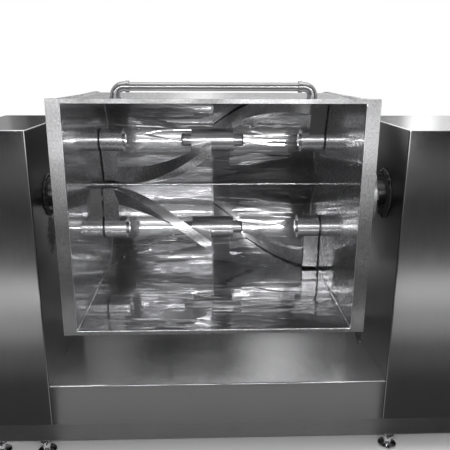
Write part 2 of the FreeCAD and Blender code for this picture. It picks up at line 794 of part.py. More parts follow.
def makeBlade(half):
    leftHanded = halves[half][3]
    body = newBody("Blade")
    helixBar(body, s.blade_inner, s.blade_outer, leftHanded, halfLength)
    web = newBody("Web")
    helixBar(web, s.centre_radius - 6, s.blade_inner + 2, leftHanded, halfLength)
    reach = halfLength - s.hub_gap - s.blade_gap
    room = s.blade_outer + 20
    beyond = box(reach, -room, -room, s.trough_length, 2 * room, 2 * room)
    armSpace = box(-1, -1, -s.arm_width / 2, s.arm_thick + 1, room, s.arm_width)
    webStart = reach - webLength
    outsideWeb = box(-50, -room, -room, webStart + 50, 2 * room, 2 * room)
    hubSpace = rod("X", -50, 0, 0, s.centre_radius, s.trough_length)
    webPiece = cut(web, [outsideWeb, hubSpace])
    named(seatHalf(cut(fuse([body, webPiece]), [beyond, armSpace]), half), half + "_blade")


def makeRotor(name, z, gearEnd):
    arms = [makeArm(name + "_left"), makeArm(name + "_right")]
    named(group(arms), name + "_rotor_arms")
    makeBlade(name + "_left")
    makeBlade(name + "_right")
    half = s.centre_length / 2
    end = half + s.tip_length
    low = s.tip_radius - s.tip_round
    profile = [(-end, 0), (-end, low), (s.tip_round - end, s.tip_radius, s.tip_round - end, low, -1),
               (-half, s.tip_radius), (-half, s.centre_radius), (half, s.centre_radius),
               (half, s.tip_radius), (end - s.tip_round, s.tip_radius),
               (end, low, end - s.tip_round, low, -1), (end, 0)]
    named(turned(profile, "X", centreX, rotorY, z), name + "_centre_hub")
    stubEnd = halfLength - s.hub_gap - s.hub_length - 8
    shafts = []
    for side, far in ((-1, plateFace + 31), (1, gearEnd)):
        axial = [(stubEnd, 0), (stubEnd, 24), (stubEnd + 8, 24), (stubEnd + 8, s.shaft_radius),
                 (far, s.shaft_radius), (far, 0)]
        shafts.append(turned(axial, "X" if side > 0 else "-X", centreX, rotorY, z))
    named(group(shafts), name + "_rotor_shafts")


# Spur gear with straight-sided teeth; a tooth points along +Z before the gear is turned
def gear(teeth, face, bore, x, y, z, angle):
    module = s.gear_module
    pitchRadius = module * teeth / 2
    rootRadius = pitchRadius - module * 1.15
    tipRadius = pitchRadius + module * 0.85
    rootHalf = module * 0.98
    tipHalf = module * 0.4
    body = newBody("Gear")
    sketch = sketchOn(body, "YZ_Plane")
    circle(sketch, 0, 0, rootRadius)
    circle(sketch, 0, 0, bore)
    pad(body, sketch, face)
    toothSketch = sketchOn(body, "YZ_Plane")
    outline(toothSketch, [(-rootHalf, rootRadius - 2), (rootHalf, rootRadius - 2),
                          (tipHalf, tipRadius), (-tipHalf, tipRadius)])
    tooth = pad(body, toothSketch, face)
    pattern = body.newObject("PartDesign::PolarPattern", "Teeth")
    pattern.Originals = [tooth]
    axisItem = [item for item in body.Origin.OriginFeatures if item.Role == "X_Axis"][0]
    pattern.Axis = (axisItem, [""])
    pattern.Angle = 360
    pattern.Occurrences = int(round(size(teeth).value))
    bind(pattern, "Occurrences", teeth)
    body.Tip = pattern
    return place(body, x, y, z, (1, 0, 0), angle)


def heading(y0, z0, y1, z1):
    """Angle about +X that turns a tooth from +Z to the direction between two axes."""
    return math.degrees(math.atan2(-(y1.value - y0.value), z1.value - z0.value))


def makeGears():
    teeth = s.gear_teeth.value
    small = s.idler_teeth.value
    idlerRadius = s.gear_module * s.idler_teeth / 2
    bigRadius = s.gear_module * s.gear_teeth / 2
    side = idlerRadius + bigRadius
    rise = root(side * side - gearCentres * gearCentres / 4)
    midY = (tiltY + rotorY) / 2
    midZ = (tiltZ + highZ) / 2
    idlerY = midY + rise * halfSpacing / gearCentres
    idlerZ = midZ - rise * (rotorY - tiltY) / gearCentres
    driveAngle = heading(tiltY, tiltZ, rotorY, lowZ)
    lowerAngle = driveAngle + 180 + 180 / teeth
    toIdler = heading(tiltY, tiltZ, idlerY, idlerZ)
    idlerAngle = toIdler + 180 - teeth / small * (driveAngle - toIdler) - 180 / small
    toUpper = heading(idlerY, idlerZ, rotorY, highZ)
    upperAngle = toUpper + 180 - small / teeth * (idlerAngle - toUpper) - 180 / teeth
    driveX = centreX + planeA
    named(gear(s.gear_teeth, s.gear_face, s.drive_radius, driveX, tiltY, tiltZ, driveAngle), "drive_gear")
    named(gear(s.gear_teeth, s.gear_face, s.shaft_radius, driveX, rotorY, lowZ, lowerAngle),
          "lower_rotor_gear")
    named(gear(s.gear_teeth, s.gear_face, s.shaft_radius, centreX + planeB, rotorY, highZ, upperAngle),
          "upper_rotor_gear")
    idler = gear(s.idler_teeth, 2 * s.gear_face + gearClear, 14, driveX, idlerY, idlerZ, idlerAngle)
    named(idler, "idler_gear")
    pinRadius = 14 - s.running
    pinLength = caseFace - plateFace - 12.3
    profile = [(0, 0), (0, 22), (10, 22), (10, pinRadius), (pinLength, pinRadius), (pinLength, 0)]
    pin = turned(profile, "X", centreX + plateFace, idlerY, idlerZ)
    named(pin, "idler_pin")


# Drive shaft through the right trunnion, and the coupling to the reducer


def makeDriveShaft():
    start = planeA - 4
    end = couplingStart + 34
    shaft = rod("X", centreX + start, tiltY, tiltZ, s.drive_radius, end - start)
    named(shaft, "drive_shaft")
    bore = s.drive_radius
    hub = [(0, bore), (0, 44), (12, 54), (33, 54), (33, bore)]
    nearHub = turned(hub, "X", centreX + couplingStart, tiltY, tiltZ)
    farHub = turned(hub, "-X", centreX + couplingStart + 72, tiltY, tiltZ)
    farHub = place(farHub, centreX + couplingStart + 71, tiltY, tiltZ, (0, 0, 1), 180)
    output = rod("X", centreX + couplingStart + 38, tiltY, tiltZ, bore, 33 + 30)
    spider = turned([(33, 30), (33, 50), (38, 50), (38, 30)], "X", centreX + couplingStart, tiltY, tiltZ)
    named(group([nearHub, spider, farHub, output]), "shaft_coupling")


# V-belt pulley with its shaft
def pulley(radius, bore, x, y, z, shaftBack, shaftFront):
    width = s.belt_pitch * s.belt_count + 4
    points = [(0, 0), (0, radius)]
    for i in range(int(s.belt_count.value)):
        middle = 2 + s.belt_pitch * (i + 0.5)
        points += [(middle - 5.5, radius), (middle - 4, radius - 10), (middle + 4, radius - 10),
                   (middle + 5.5, radius)]
    points += [(width, radius), (width, bore), (width + shaftFront, bore), (width + shaftFront, 0)]
    back = [(-shaftBack, 0), (-shaftBack, bore), (0, bore)]
    return turned(back + points[1:], "X", x, y, z)


def makePulleys():
    named(pulley(s.motor_pulley_radius, motorShaft, pulleyX, motorY, motorZ, 40, 2), "motor_pulley")
    named(pulley(s.gear_pulley_radius, reducerShaft, pulleyX, tiltY, tiltZ, 30, 2), "reducer_pulley")


# Belts: closed loops that lie in the grooves of both pulleys
def beltLoop(sketch, small, large, distance):
    sine = (large.value - small.value) / distance.value
    cosine = math.sqrt(1 - sine * sine)
    big = Part.ArcOfCircle(Part.Circle(Vector(0, distance.value, 0), Vector(0, 0, 1), large.value),
                           -math.asin(sine), math.pi + math.asin(sine))
    little = Part.ArcOfCircle(Part.Circle(Vector(0, 0, 0), Vector(0, 0, 1), small.value),
                              math.pi + math.asin(sine), 2 * math.pi - math.asin(sine))
    first = sketch.GeometryCount
    ends = []
    for sign in (1, -1):
        ends.append((Vector(sign * large.value * cosine, distance.value - large.value * sine, 0),
                     Vector(sign * small.value * cosine, -small.value * sine, 0)))
    sketch.addGeometry(big, False)
    sketch.addGeometry(little, False)
    sketch.addGeometry(Part.LineSegment(*ends[0]), False)
    sketch.addGeometry(Part.LineSegment(*ends[1]), False)
    for arc, arcEnd, line, lineEnd in ((0, 1, 2, 1), (0, 2, 3, 1), (1, 1, 3, 2), (1, 2, 2, 2)):
        sketch.addConstraint(Sketcher.Constraint("Tangent", first + arc, arcEnd, first + line, lineEnd))
    for arc, radius, height in ((0, large, distance), (1, small, size(0))):
        index = sketch.addConstraint(Sketcher.Constraint("Radius", first + arc, radius.value))
        sketch.setExpression(f"Constraints[{index}]", radius.text)
        fix(sketch, "DistanceX", first + arc, 3, 0)
        fix(sketch, "DistanceY", first + arc, 3, height)


def makeBelts():
    belts = []
    distance = tiltZ - motorZ
    for i in range(int(s.belt_count.value)):
        body = newBody("Belt")
        sketch = sketchOn(body, "YZ_Plane")
        beltLoop(sketch, s.motor_pulley_radius + 0.5, s.gear_pulley_radius + 0.5, distance)
        beltLoop(sketch, s.motor_pulley_radius - 8, s.gear_pulley_radius - 8, distance)
        pad(body, sketch, 7)
        belts.append(place(body, pulleyX + 2 + s.belt_pitch * (i + 0.5) - 3.5, motorY, motorZ))
    named(group(belts), "drive_belts")


# Main motor: ribbed body, end bells, terminal box and feet
def makeMotor():
    back = motorLength
    x = pulleyX - 26
    radius = 88
    profile = [(0, motorShaft + s.running), (0, 58), (6, 80), (20, radius + 6), (30, radius + 6),
               (30, radius), (back - 60, radius), (back - 60, radius + 5), (back - 8, radius + 5),
               (back, radius - 6),
               (back, 0), (40, 0), (40, motorShaft + s.running)]
    shell = turned(profile, "-X", x, motorY, motorZ)
    pieces = [shell]
    for i in range(20):
        fin = doc.addObject("Part::Box", "Fin")
        fin.Length = back - 92
        fin.Width = 3
        fin.Height = 14
        angle = 360.0 * (i + 0.5) / 20
        turn = FreeCAD.Rotation(Vector(1, 0, 0), angle)
        place(fin, x - back + 61, motorY, motorZ)
        offset = turn.multVec(Vector(0, -1.5, radius - 2))
        fin.setExpression("Placement.Base.y", (size(motorY) + offset.y).text)
        fin.setExpression("Placement.Base.z", (motorZ + offset.z).text)
        fin.Placement = FreeCAD.Placement(fin.Placement.Base + Vector(0, offset.y, offset.z), turn)
        pieces.append(fin)
    terminalHalf = 55
    terminalUp = 80                 # motor's shaft to the underside of the terminal box
    pieces.append(box(x - 200, motorY - terminalHalf, motorZ + terminalUp, 120, 2 * terminalHalf, 60))
    feetBack = 235                  # front of the motor to the far end of its feet
    feetLength = 180
    footHalf = 30
    footThick = 14
    legHeight = 80
    for side, legWidth in ((-1, 30), (1, 40)):
        footY = motorY + side * 80
        pieces.append(box(x - feetBack, footY - footHalf, motorZ - motorRise, feetLength, 2 * footHalf,
                          footThick))
        legZ = motorZ - motorRise + footThick - 4
        pieces.append(box(x - feetBack, footY - 20, legZ, feetLength, legWidth, legHeight))
    named(fuse(pieces), "main_motor")
    deck = box(x - motorLength + 16, motorY - shelfHalf, frameTop, motorLength - 46, 2 * shelfHalf,
               motorZ - motorRise - frameTop)
    named(deck, "motor_plate")


# Reducer on a shelf that is bolted to the right bearing post
def makeReducer():
    x = centreX + reducerStart
    length = 150
    half = 105
    body = newBody("Reducer")
    sketch = sketchOn(body, "YZ_Plane")
    corner = 30
    outline(sketch, [(-half, -half), (half, -half), (half, half - corner),
                     (half - corner, half, half - corner, half - corner, 1), (-half + corner, half),
                     (-half, half - corner, -half + corner, half - corner, 1)])
    pad(body, sketch, length)
    place(body, x, tiltY, tiltZ)
    boss = rod("X", x + length, tiltY, tiltZ, 50, 14)
    foot = box(x, tiltY - half - 30, tiltZ - half - 14, length, 2 * half + 60, 14)
    outBore = rod("X", x - 1, tiltY, tiltZ, s.drive_radius + s.running, 34)
    inBore = rod("X", x + length - 10, tiltY, tiltZ, reducerShaft + s.running, 30)
    named(cut(fuse([body, boss, foot]), [outBore, inBore]), "main_reducer")
    shelfTop = tiltZ - half - 14
    postFace = rightInner + 12 + postThick
    whole = box(postFace, tiltY - shelfHalf, shelfTop - 12, x + length + 10 - postFace, 2 * shelfHalf, 12)
    notches = []
    notchWide = shelfHalf + 5 - postHalf + ribThick + 0.3
    for y in (tiltY - shelfHalf - 5, tiltY + postHalf - ribThick - 0.3):
        notches.append(box(postFace - 1, y, shelfTop - 15, ribReach + 1.3, notchWide, 20))
    pieces = [cut(whole, notches)]
    for y in (tiltY - postHalf + ribThick + 10, tiltY + postHalf - ribThick - 22):
        gusset = newBody("Gusset")
        gussetSketch = sketchOn(gusset, "XZ_Plane")
        outline(gussetSketch, [(0, 0), (x + length - 40 - postFace, 0), (0, -180)])
        pad(gusset, gussetSketch, 12)
        pieces.append(place(gusset, postFace, y + 12, shelfTop - 12))
    named(fuse(pieces), "reducer_shelf")


# Tilt drive: worm gearbox on the left trunnion with its motor below
def makeTiltDrive():
    x = leftInner - gearboxNear
    width = 84
    case = rod("X", x - width, tiltY, tiltZ, 86, width)
    wormHalf = 95
    wormDrop = 150                  # tilt axis to the underside of the worm's housing
    worm = box(x - width, tiltY - wormHalf, tiltZ - wormDrop, width, 2 * wormHalf, 110)
    bore = rod("X", x - width - 5, tiltY, tiltZ, gearboxBore + s.running, width + 10)
    arm = box(x - 20, tiltY + 58, tiltZ - 116, gearboxNear - 12 - postThick + 20, 34, 14)
    named(cut(fuse([case, worm, arm]), [bore]), "tilt_gearbox")
    profile = [(0, 0), (0, 40), (10, 40), (10, 36), (20, 36), (20, 30), (150, 30), (150, 33), (176, 33),
               (184, 26), (184, 0)]
    motorTop = tiltZ - wormDrop
    motor = turned(profile, "-Z", x - width / 2, tiltY, motorTop)
    terminalHalf = 20
    terminalReach = 60              # motor's axis to the outside of the terminal box
    terminalDrop = 90               # top of the motor to the underside of that box
    terminal = box(x - width / 2 - terminalHalf, tiltY - terminalReach, motorTop - terminalDrop,
                   2 * terminalHalf, 34, 50)
    named(fuse([motor, terminal]), "tilt_motor")


# Controls on the right cabinet's front: push buttons, stop, selector and dial


def device(column, row):
    return panelX + 35 + 60 * column, panelZ + 40 + 62 * row


def makeControls():
    stemHole = 6.1
    face = frontY - panelThick
    places = {"start_button": (0, 1), "stop_button": (1, 1), "emergency_stop": (0, 0),
              "tilt_selector": (1, 0), "timer_dial": (0, 2)}
    boxBody = box(panelX, face, panelZ, panelWidth, panelThick, panelHeight)
    holes = []
    for column, row in places.values():
        x, z = device(column, row)
        holes.append(rod("Y", x, face - 1, z, stemHole, panelThick + 5))
    named(cut(boxBody, holes), "control_panel")
    bezels = []
    for column, row in places.values():
        x, z = device(column, row)
        radius = 17 if row else 15
        ring = [(0, 12.2), (0, radius), (4, radius - 2), (4, 12.2)]
        bezels.append(turned(ring, "-Y", x, face, z))
    named(group(bezels), "button_bezels")
    for label in ("start_button", "stop_button"):
        x, z = device(*places[label])
        cap = [(-12, 0), (-12, 6), (0.5, 6), (0.5, s.button_radius), (8.5, s.button_radius), (10, 9.5),
               (10, 0)]
        named(turned(cap, "-Y", x, face - s.button_travel - 0.5, z), label)
    x, z = device(*places["emergency_stop"])
    head = [(-14, 0), (-14, 6), (0, 6), (0, 11), (6, 11), (6, 19), (14, 20), (20, 15), (22, 0)]
    named(turned(head, "-Y", x, face - 6.5, z), "emergency_stop")
    x, z = device(*places["tilt_selector"])
    knob = turned([(-12, 0), (-12, 6), (0.5, 6), (0.5, 11.5), (8, 11), (8, 0)], "-Y", x, face - 0.5, z)
    lever = box(x - 4, face - 20, z - 11, 8, 13, 24)
    named(fuse([knob, lever]), "tilt_selector")
    x, z = device(*places["timer_dial"])
    knob = [(-12, 0), (-12, 6), (0.5, 6), (0.5, 11.8), (12, 10.5), (14, 9), (14, 0)]
    dial = turned(knob, "-Y", x, face - 0.5, z)
    pointer = box(x - 1.5, face - 16, z + 3, 3, 4, 6)
    named(fuse([dial, pointer]), "timer_dial")


# Gland where the supply enters
def makeGland():
    profile = [(0, glandBore), (0, 15), (6, 15), (8, 12), (13, 11), (13, glandBore)]
    gland = turned(profile, "X", rightOuter, rearY - glandIn, frameTop + glandUp)
    named(gland, "cable_gland")


makeBaseFrame()
makeFeet()
makeCabinet("left_cabinet_shell", leftOuter, leftInner, leftInner - s.cabinet_sheet, 56, False)
makeCabinet("right_cabinet_shell", rightInner, rightOuter, rightInner, 60, True)
makeDoor("left_rear_door", leftOuter, leftInner, -1)
makeDoor("right_rear_door", rightInner, rightOuter, 1)
makeHingePins()
makeLatch("left_door_latch", leftInner - 40)
makeLatch("right_door_latch", rightInner + 40)
makeTable()
makePosts()
makeTrunnionBearings()
makeTrunnionRings()
makeTroughShell()
makeEndPlates()
makeRim()
makeRimLug()
makeRidgeBar()
makeHandle()
makeTrunnions()
makeGearCase()
makeRotorBearings()
makeSeals()
makeRotor("lower", lowZ, planeA + s.gear_face + 2)
makeRotor("upper", highZ, planeB + s.gear_face + 2)
makeGears()
makeDriveShaft()
makePulleys()
makeBelts()
makeMotor()
makeReducer()
makeTiltDrive()
makeControls()
makeGland()
doc.recompute()

for item in doc.Objects:
    if "Invalid" in item.State or "Error" in item.State:
        raise RuntimeError(f"{item.Name} failed: {item.State}")
os.makedirs("parts", exist_ok=True)
for item in parts:
    shape = item.Shape
    if shape.isNull() or not shape.isValid():
        raise RuntimeError(f"{item.Label} has no valid shape")
    shape.exportStep(f"parts/{item.Label}.step")
    print(item.Label, len(shape.Solids), round(shape.Volume))
print(len(parts), "nodes")
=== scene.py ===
import bpy
import bmesh
import json
import math
import random
from mathutils import Euler, Matrix, Vector


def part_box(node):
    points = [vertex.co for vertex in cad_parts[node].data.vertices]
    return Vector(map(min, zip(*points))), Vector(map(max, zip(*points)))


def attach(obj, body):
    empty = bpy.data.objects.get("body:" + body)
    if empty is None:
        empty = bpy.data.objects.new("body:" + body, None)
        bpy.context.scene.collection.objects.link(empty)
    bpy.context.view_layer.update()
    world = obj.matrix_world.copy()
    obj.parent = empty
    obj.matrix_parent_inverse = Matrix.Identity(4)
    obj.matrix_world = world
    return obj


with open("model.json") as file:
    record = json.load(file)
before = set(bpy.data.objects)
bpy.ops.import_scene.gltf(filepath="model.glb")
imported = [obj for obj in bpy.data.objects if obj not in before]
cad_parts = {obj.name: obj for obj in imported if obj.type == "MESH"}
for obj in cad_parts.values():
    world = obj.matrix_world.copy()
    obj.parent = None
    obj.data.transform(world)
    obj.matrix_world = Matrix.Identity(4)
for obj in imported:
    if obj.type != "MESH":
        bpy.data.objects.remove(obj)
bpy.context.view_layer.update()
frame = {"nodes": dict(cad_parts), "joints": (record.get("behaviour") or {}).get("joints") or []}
nodes = frame["nodes"]
joints = {joint["name"]: joint for joint in frame["joints"]}
view = bpy.context.scene.view_settings
view.view_transform = "Standard"

# places that the rest is measured from, in metres
rimLow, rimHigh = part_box("mouth_rim")
shellLow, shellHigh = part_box("trough_shell")
leftLow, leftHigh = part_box("left_cabinet_shell")
rightLow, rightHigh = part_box("right_cabinet_shell")
panelLow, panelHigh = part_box("control_panel")
tiltAt = Vector(joints["trough_tilt"]["pos_m"])
lowerAt = Vector(joints["lower_rotor_spin"]["pos_m"])
upperAt = Vector(joints["upper_rotor_spin"]["pos_m"])
middleX, axisY, axisZ = tiltAt
mouthY = rimLow.y
wall = 0.004                                             # sheet of the trough
insideTop = shellHigh.z - wall
insideBottom = shellLow.z + wall
troughRadius = insideTop - upperAt.z
halfLength = shellHigh.x - middleX
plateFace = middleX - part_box("left_end_plate")[0].x      # middle of the trough to an end plate's outer face


# camera: fitted to the photograph's edges, measured from the mouth's upper inside edge
cameraFit = {"place": (-0.0261, -1.5622, 0.0983), "pitch": 16.09, "yaw": 2.05, "roll": 0.23,
             "lens": 43.88, "sensor": 36}


def makeCamera():
    pitch = math.radians(cameraFit["pitch"])
    yaw = math.radians(cameraFit["yaw"])
    roll = math.radians(cameraFit["roll"])
    ahead = Vector((math.sin(yaw) * math.cos(pitch), math.cos(yaw) * math.cos(pitch), -math.sin(pitch)))
    side = Vector((math.cos(yaw), -math.sin(yaw), 0))
    up = side.cross(ahead)
    right = math.cos(roll) * side + math.sin(roll) * up
    top = math.cos(roll) * up - math.sin(roll) * side
    turn = Matrix((right, top, -ahead)).transposed().to_4x4()
    data = bpy.data.cameras.new("camera")
    data.sensor_width = cameraFit["sensor"]
    data.lens = cameraFit["lens"]
    camera = bpy.data.objects.new("camera", data)
    bpy.context.scene.collection.objects.link(camera)
    place = Vector(cameraFit["place"]) + Vector((middleX, mouthY, insideTop))
    camera.matrix_world = Matrix.Translation(place) @ turn
    bpy.context.scene.camera = camera


# node helpers: a value is a number, a tuple or the output of another node
def feed(tree, socket, value):
    if isinstance(value, bpy.types.NodeSocket):
        tree.links.new(value, socket)
    else:
        socket.default_value = value


def newMaterial(name):
    material = bpy.data.materials.new(name)
    material.use_nodes = True
    tree = material.node_tree
    tree.nodes.clear()
    output = tree.nodes.new("ShaderNodeOutputMaterial")
    shader = tree.nodes.new("ShaderNodeBsdfPrincipled")
    tree.links.new(shader.outputs[0], output.inputs[0])
    return material, tree, shader


def objectCoords(tree, scale=(1, 1, 1)):
    coords = tree.nodes.new("ShaderNodeTexCoord")
    mapping = tree.nodes.new("ShaderNodeMapping")
    mapping.inputs["Scale"].default_value = scale
    tree.links.new(coords.outputs["Object"], mapping.inputs["Vector"])
    return mapping.outputs["Vector"]


def alongAxis(tree, vector, axis):
    split = tree.nodes.new("ShaderNodeSeparateXYZ")
    tree.links.new(vector, split.inputs[0])
    return split.outputs[axis]


def vectorMath(tree, operation, *values):
    node = tree.nodes.new("ShaderNodeVectorMath")
    node.operation = operation
    for index, value in enumerate(values):
        feed(tree, node.inputs[index], value)
    return node.outputs["Vector" if operation == "SUBTRACT" else "Value"]


def noise(tree, vector, scale, detail, distortion=0.0):
    node = tree.nodes.new("ShaderNodeTexNoise")
    node.inputs["Scale"].default_value = scale
    node.inputs["Detail"].default_value = detail
    node.inputs["Distortion"].default_value = distortion
    tree.links.new(vector, node.inputs["Vector"])
    return node.outputs["Fac"]


def remap(tree, value, low, high, fromLow=0.3, fromHigh=0.7):
    node = tree.nodes.new("ShaderNodeMapRange")
    node.inputs["From Min"].default_value = fromLow
    node.inputs["From Max"].default_value = fromHigh
    node.inputs["To Min"].default_value = low
    node.inputs["To Max"].default_value = high
    tree.links.new(value, node.inputs["Value"])
    return node.outputs["Result"]


def math2(tree, operation, first, second=0):
    node = tree.nodes.new("ShaderNodeMath")
    node.operation = operation
    feed(tree, node.inputs[0], first)
    feed(tree, node.inputs[1], second)
    return node.outputs[0]


def plus(tree, base, value, share):
    return math2(tree, "ADD", base, math2(tree, "MULTIPLY", value, share))


def mixColour(tree, factor, first, second):
    node = tree.nodes.new("ShaderNodeMix")
    node.data_type = "RGBA"
    tree.links.new(factor, node.inputs["Factor"])
    # sockets 6 and 7 are the two colours
    for index, value in ((6, first), (7, second)):
        feed(tree, node.inputs[index], (*value, 1) if isinstance(value, tuple) else value)
    return node.outputs[2]


def mixShaders(tree, factor, first, second):
    output = next(node for node in tree.nodes if node.type == "OUTPUT_MATERIAL")
    mix = tree.nodes.new("ShaderNodeMixShader")
    feed(tree, mix.inputs[0], factor)
    tree.links.new(first.outputs[0], mix.inputs[1])
    tree.links.new(second.outputs[0], mix.inputs[2])
    tree.links.new(mix.outputs[0], output.inputs[0])


def bump(tree, shader, height, strength, distance):
    node = tree.nodes.new("ShaderNodeBump")
    node.inputs["Strength"].default_value = strength
    node.inputs["Distance"].default_value = distance
    tree.links.new(height, node.inputs["Height"])
    tree.links.new(node.outputs[0], shader.inputs["Normal"])


# steel: dark to light along a stretched grain with cloudy wiping marks. hairlines change the roughness, and
# wave, ripple and crease the height, each with an amount and the scale of its pattern. The veil is a second,
# rougher polish over the first. Each steel gives its own dark, light and grain
steelDefaults = {"rough": 0.2, "smudge": 0.04, "grainBump": 0.00003, "hairlines": None, "wave": None,
                 "ripple": None, "crease": None, "outside": None, "hub": None, "scratches": None,
                 "step": None, "shadedSides": None, "stain": None, "veil": None, "veilRough": 0.45}

# noise of each pattern: scale, detail and distortion
steelNoise = {"grain": (12, 4), "cloud": (5, 5, 0.6), "hairlines": (6, 2, 0.3), "wave": (1, 2, 0.4),
              "ripple": (1, 2, 0.8), "crease": (1, 1.5, 0.7), "scratches": (260, 3, 0.2),
              "stain": (110, 4, 0.6)}

# between which values of its pattern, or of its distance, an option sets in
steelLimits = {"hairlines": (0.58, 0.72), "crease": (0.5, 0.6), "outside": (-0.01, 0.01),
               "scratches": (0.45, 0.62), "stain": (0.75, 1.05)}

# the shares of grain and cloud in the colour, the grain's spread of roughness, and the trace of blue
steelShare = {"grain": 0.65, "cloud": 0.35, "rough": 0.02, "blue": 1.015}


def pattern(tree, kind, scale=(1, 1, 1)):
    return noise(tree, objectCoords(tree, scale), *steelNoise[kind])


def grey(level):
    return (level, level, level * steelShare["blue"])


def addHairlines(tree, look, surface):
    amount, scale = look["hairlines"]
    hair = remap(tree, pattern(tree, "hairlines", scale), 0, amount, *steelLimits["hairlines"])
    surface["roughness"] = math2(tree, "ADD", surface["roughness"], hair)


def raiseBy(kind):
    def add(tree, look, surface):
        amount, scale = look[kind]
        surface["height"] = plus(tree, surface["height"], pattern(tree, kind, scale), amount)
    return add


# creases are the pattern's steep edges
def addCrease(tree, look, surface):
    amount, scale = look["crease"]
    edge = remap(tree, pattern(tree, "crease", scale), 0, 1, *steelLimits["crease"])
    edge.node.interpolation_type = "SMOOTHSTEP"
    surface["height"] = plus(tree, surface["height"], edge, amount)


# faces that look away from a point 1 m before the mouth are the outside, where the sheet lies flatter
def calmOutside(tree, look, surface):
    shape = tree.nodes.new("ShaderNodeTexCoord")
    inward = vectorMath(tree, "SUBTRACT", (middleX, mouthY - 1, axisZ), shape.outputs["Object"])
    facing = vectorMath(tree, "DOT_PRODUCT", inward, shape.outputs["Normal"])
    calm = remap(tree, facing, look["outside"], 1, *steelLimits["outside"])
    surface["height"] = math2(tree, "MULTIPLY", surface["height"], calm)


# the turned hub is brighter than its arm, inside a radius round the rotor's axis
def lightenHub(tree, look, surface):
    hub = look["hub"]
    reach = vectorMath(tree, "DISTANCE", objectCoords(tree, (0, 1, 1)), (0, hub["axis"].y, hub["axis"].z))
    amount = remap(tree, reach, 1, 0, hub["radius"] - hub["edge"], hub["radius"] + hub["edge"])
    surface["colour"] = mixColour(tree, amount, surface["colour"], grey(hub["level"]))


# short scraper marks, darker than the sheet
def addScratches(tree, look, surface):
    amount = remap(tree, pattern(tree, "scratches"), 0, 1, *steelLimits["scratches"])
    worn = grey(look["dark"] * look["scratches"])
    surface["colour"] = mixColour(tree, amount, surface["colour"], worn)


# the sheet to the right of the welded middle is a little darker and duller
def stepRight(tree, look, surface):
    step = look["step"]
    right = math2(tree, "GREATER_THAN", alongAxis(tree, objectCoords(tree), "X"), middleX)
    surface["roughness"] = plus(tree, surface["roughness"], right, step["rough"])
    amount = math2(tree, "MULTIPLY", right, step["amount"])
    surface["colour"] = mixColour(tree, amount, surface["colour"], grey(look["dark"] * step["level"]))


# painted shade: the cabinets' sides that face the trough get a darker colour for the shade in the gap beside
# the trough, and are duller than their fronts
def dullSides(tree, look, surface):
    shadedSides = look["shadedSides"]
    shape = tree.nodes.new("ShaderNodeTexCoord")
    facing = math2(tree, "ABSOLUTE", alongAxis(tree, shape.outputs["Normal"], "X"))
    place = math2(tree, "ABSOLUTE", alongAxis(tree, shape.outputs["Object"], "X"))
    sideShadeMask = math2(tree, "MULTIPLY", math2(tree, "GREATER_THAN", facing, shadedSides["facing"]),
                  math2(tree, "LESS_THAN", place, shadedSides["within"]))
    surface["roughness"] = plus(tree, surface["roughness"], sideShadeMask, shadedSides["rough"])
    # painted shade: the sides' colour is darkened to the given level
    surface["colour"] = mixColour(tree, sideShadeMask, surface["colour"], grey(shadedSides["level"]))


# grease that ran down one side: speckled, darker and duller than the sheet
def addStain(tree, look, surface):
    stain = look["stain"]
    scale = tuple(1 / length for length in stain["size"])
    middle = tuple(place * share for place, share in zip(stain["at"], scale))
    speckle = pattern(tree, "stain")
    reach = vectorMath(tree, "DISTANCE", objectCoords(tree, scale), middle)
    edge = math2(tree, "ADD", reach, remap(tree, speckle, stain["speckle"], -stain["speckle"]))
    amount = remap(tree, edge, 1, 0, *steelLimits["stain"])
    surface["roughness"] = plus(tree, surface["roughness"], amount, stain["rough"])
    surface["colour"] = mixColour(tree, amount, surface["colour"], stain["colour"])
    lumps = math2(tree, "MULTIPLY", speckle, amount)
    surface["height"] = plus(tree, surface["height"], lumps, stain["bump"])


steelOptions = {"hairlines": addHairlines, "wave": raiseBy("wave"), "ripple": raiseBy("ripple"),
                "crease": addCrease, "outside": calmOutside, "hub": lightenHub, "scratches": addScratches,
                "step": stepRight, "shadedSides": dullSides, "stain": addStain}


def steel(name, choices):
    look = {**steelDefaults, **choices}
    material, tree, shader = newMaterial(name)
    grain = pattern(tree, "grain", look["grain"])
    cloud = pattern(tree, "cloud")
    both = plus(tree, math2(tree, "MULTIPLY", grain, steelShare["grain"]), cloud, steelShare["cloud"])
    rough, smudge, spread = look["rough"], look["smudge"], steelShare["rough"]
    surface = {
        "colour": mixColour(tree, remap(tree, both, 0, 1), grey(look["dark"]), grey(look["light"])),
        "roughness": math2(tree, "ADD", remap(tree, cloud, -smudge, smudge),
                           remap(tree, grain, rough - spread, rough + spread)),
        "height": math2(tree, "MULTIPLY", grain, look["grainBump"]),
    }
    for option, add in steelOptions.items():
        if look[option]:
            add(tree, look, surface)
    shaders = [shader]
    if look["veil"]:
        veil = tree.nodes.new("ShaderNodeBsdfPrincipled")
        veil.inputs["Roughness"].default_value = look["veilRough"]
        mixShaders(tree, look["veil"], shader, veil)
        shaders.append(veil)
    tree.links.new(surface["roughness"], shader.inputs["Roughness"])
    for each in shaders:
        each.inputs["Metallic"].default_value = 1
        tree.links.new(surface["colour"], each.inputs["Base Color"])
        bump(tree, each, surface["height"], 1.0, 1.0)
    return material


# paint and cast iron: shades of one colour in clouds, duller in the dark ones, over a fine grain
coats = {
    "paint": {"metal": 0, "cloud": (9, 5), "fine": (260, 2), "darker": 0.8, "duller": 0.08,
              "glossier": 0.05, "bump": (0.4, 0.0003)},
    "iron": {"metal": 0.7, "cloud": (14, 6, 0.3), "fine": (420, 2), "darker": 0.55, "duller": 0.12,
             "glossier": 0.12, "bump": (0.7, 0.0006)},
}
rubberLook = {"dust": (40, 6), "limits": (0.45, 0.8), "lighter": 2.2, "lift": 0.01, "glossier": 0.1,
              "duller": 0.12, "bump": (0.5, 0.0005)}
greaseCoat = {"lumps": (90, 5, 0.8), "rough": (0.25, 0.6), "bump": (0.9, 0.004)}


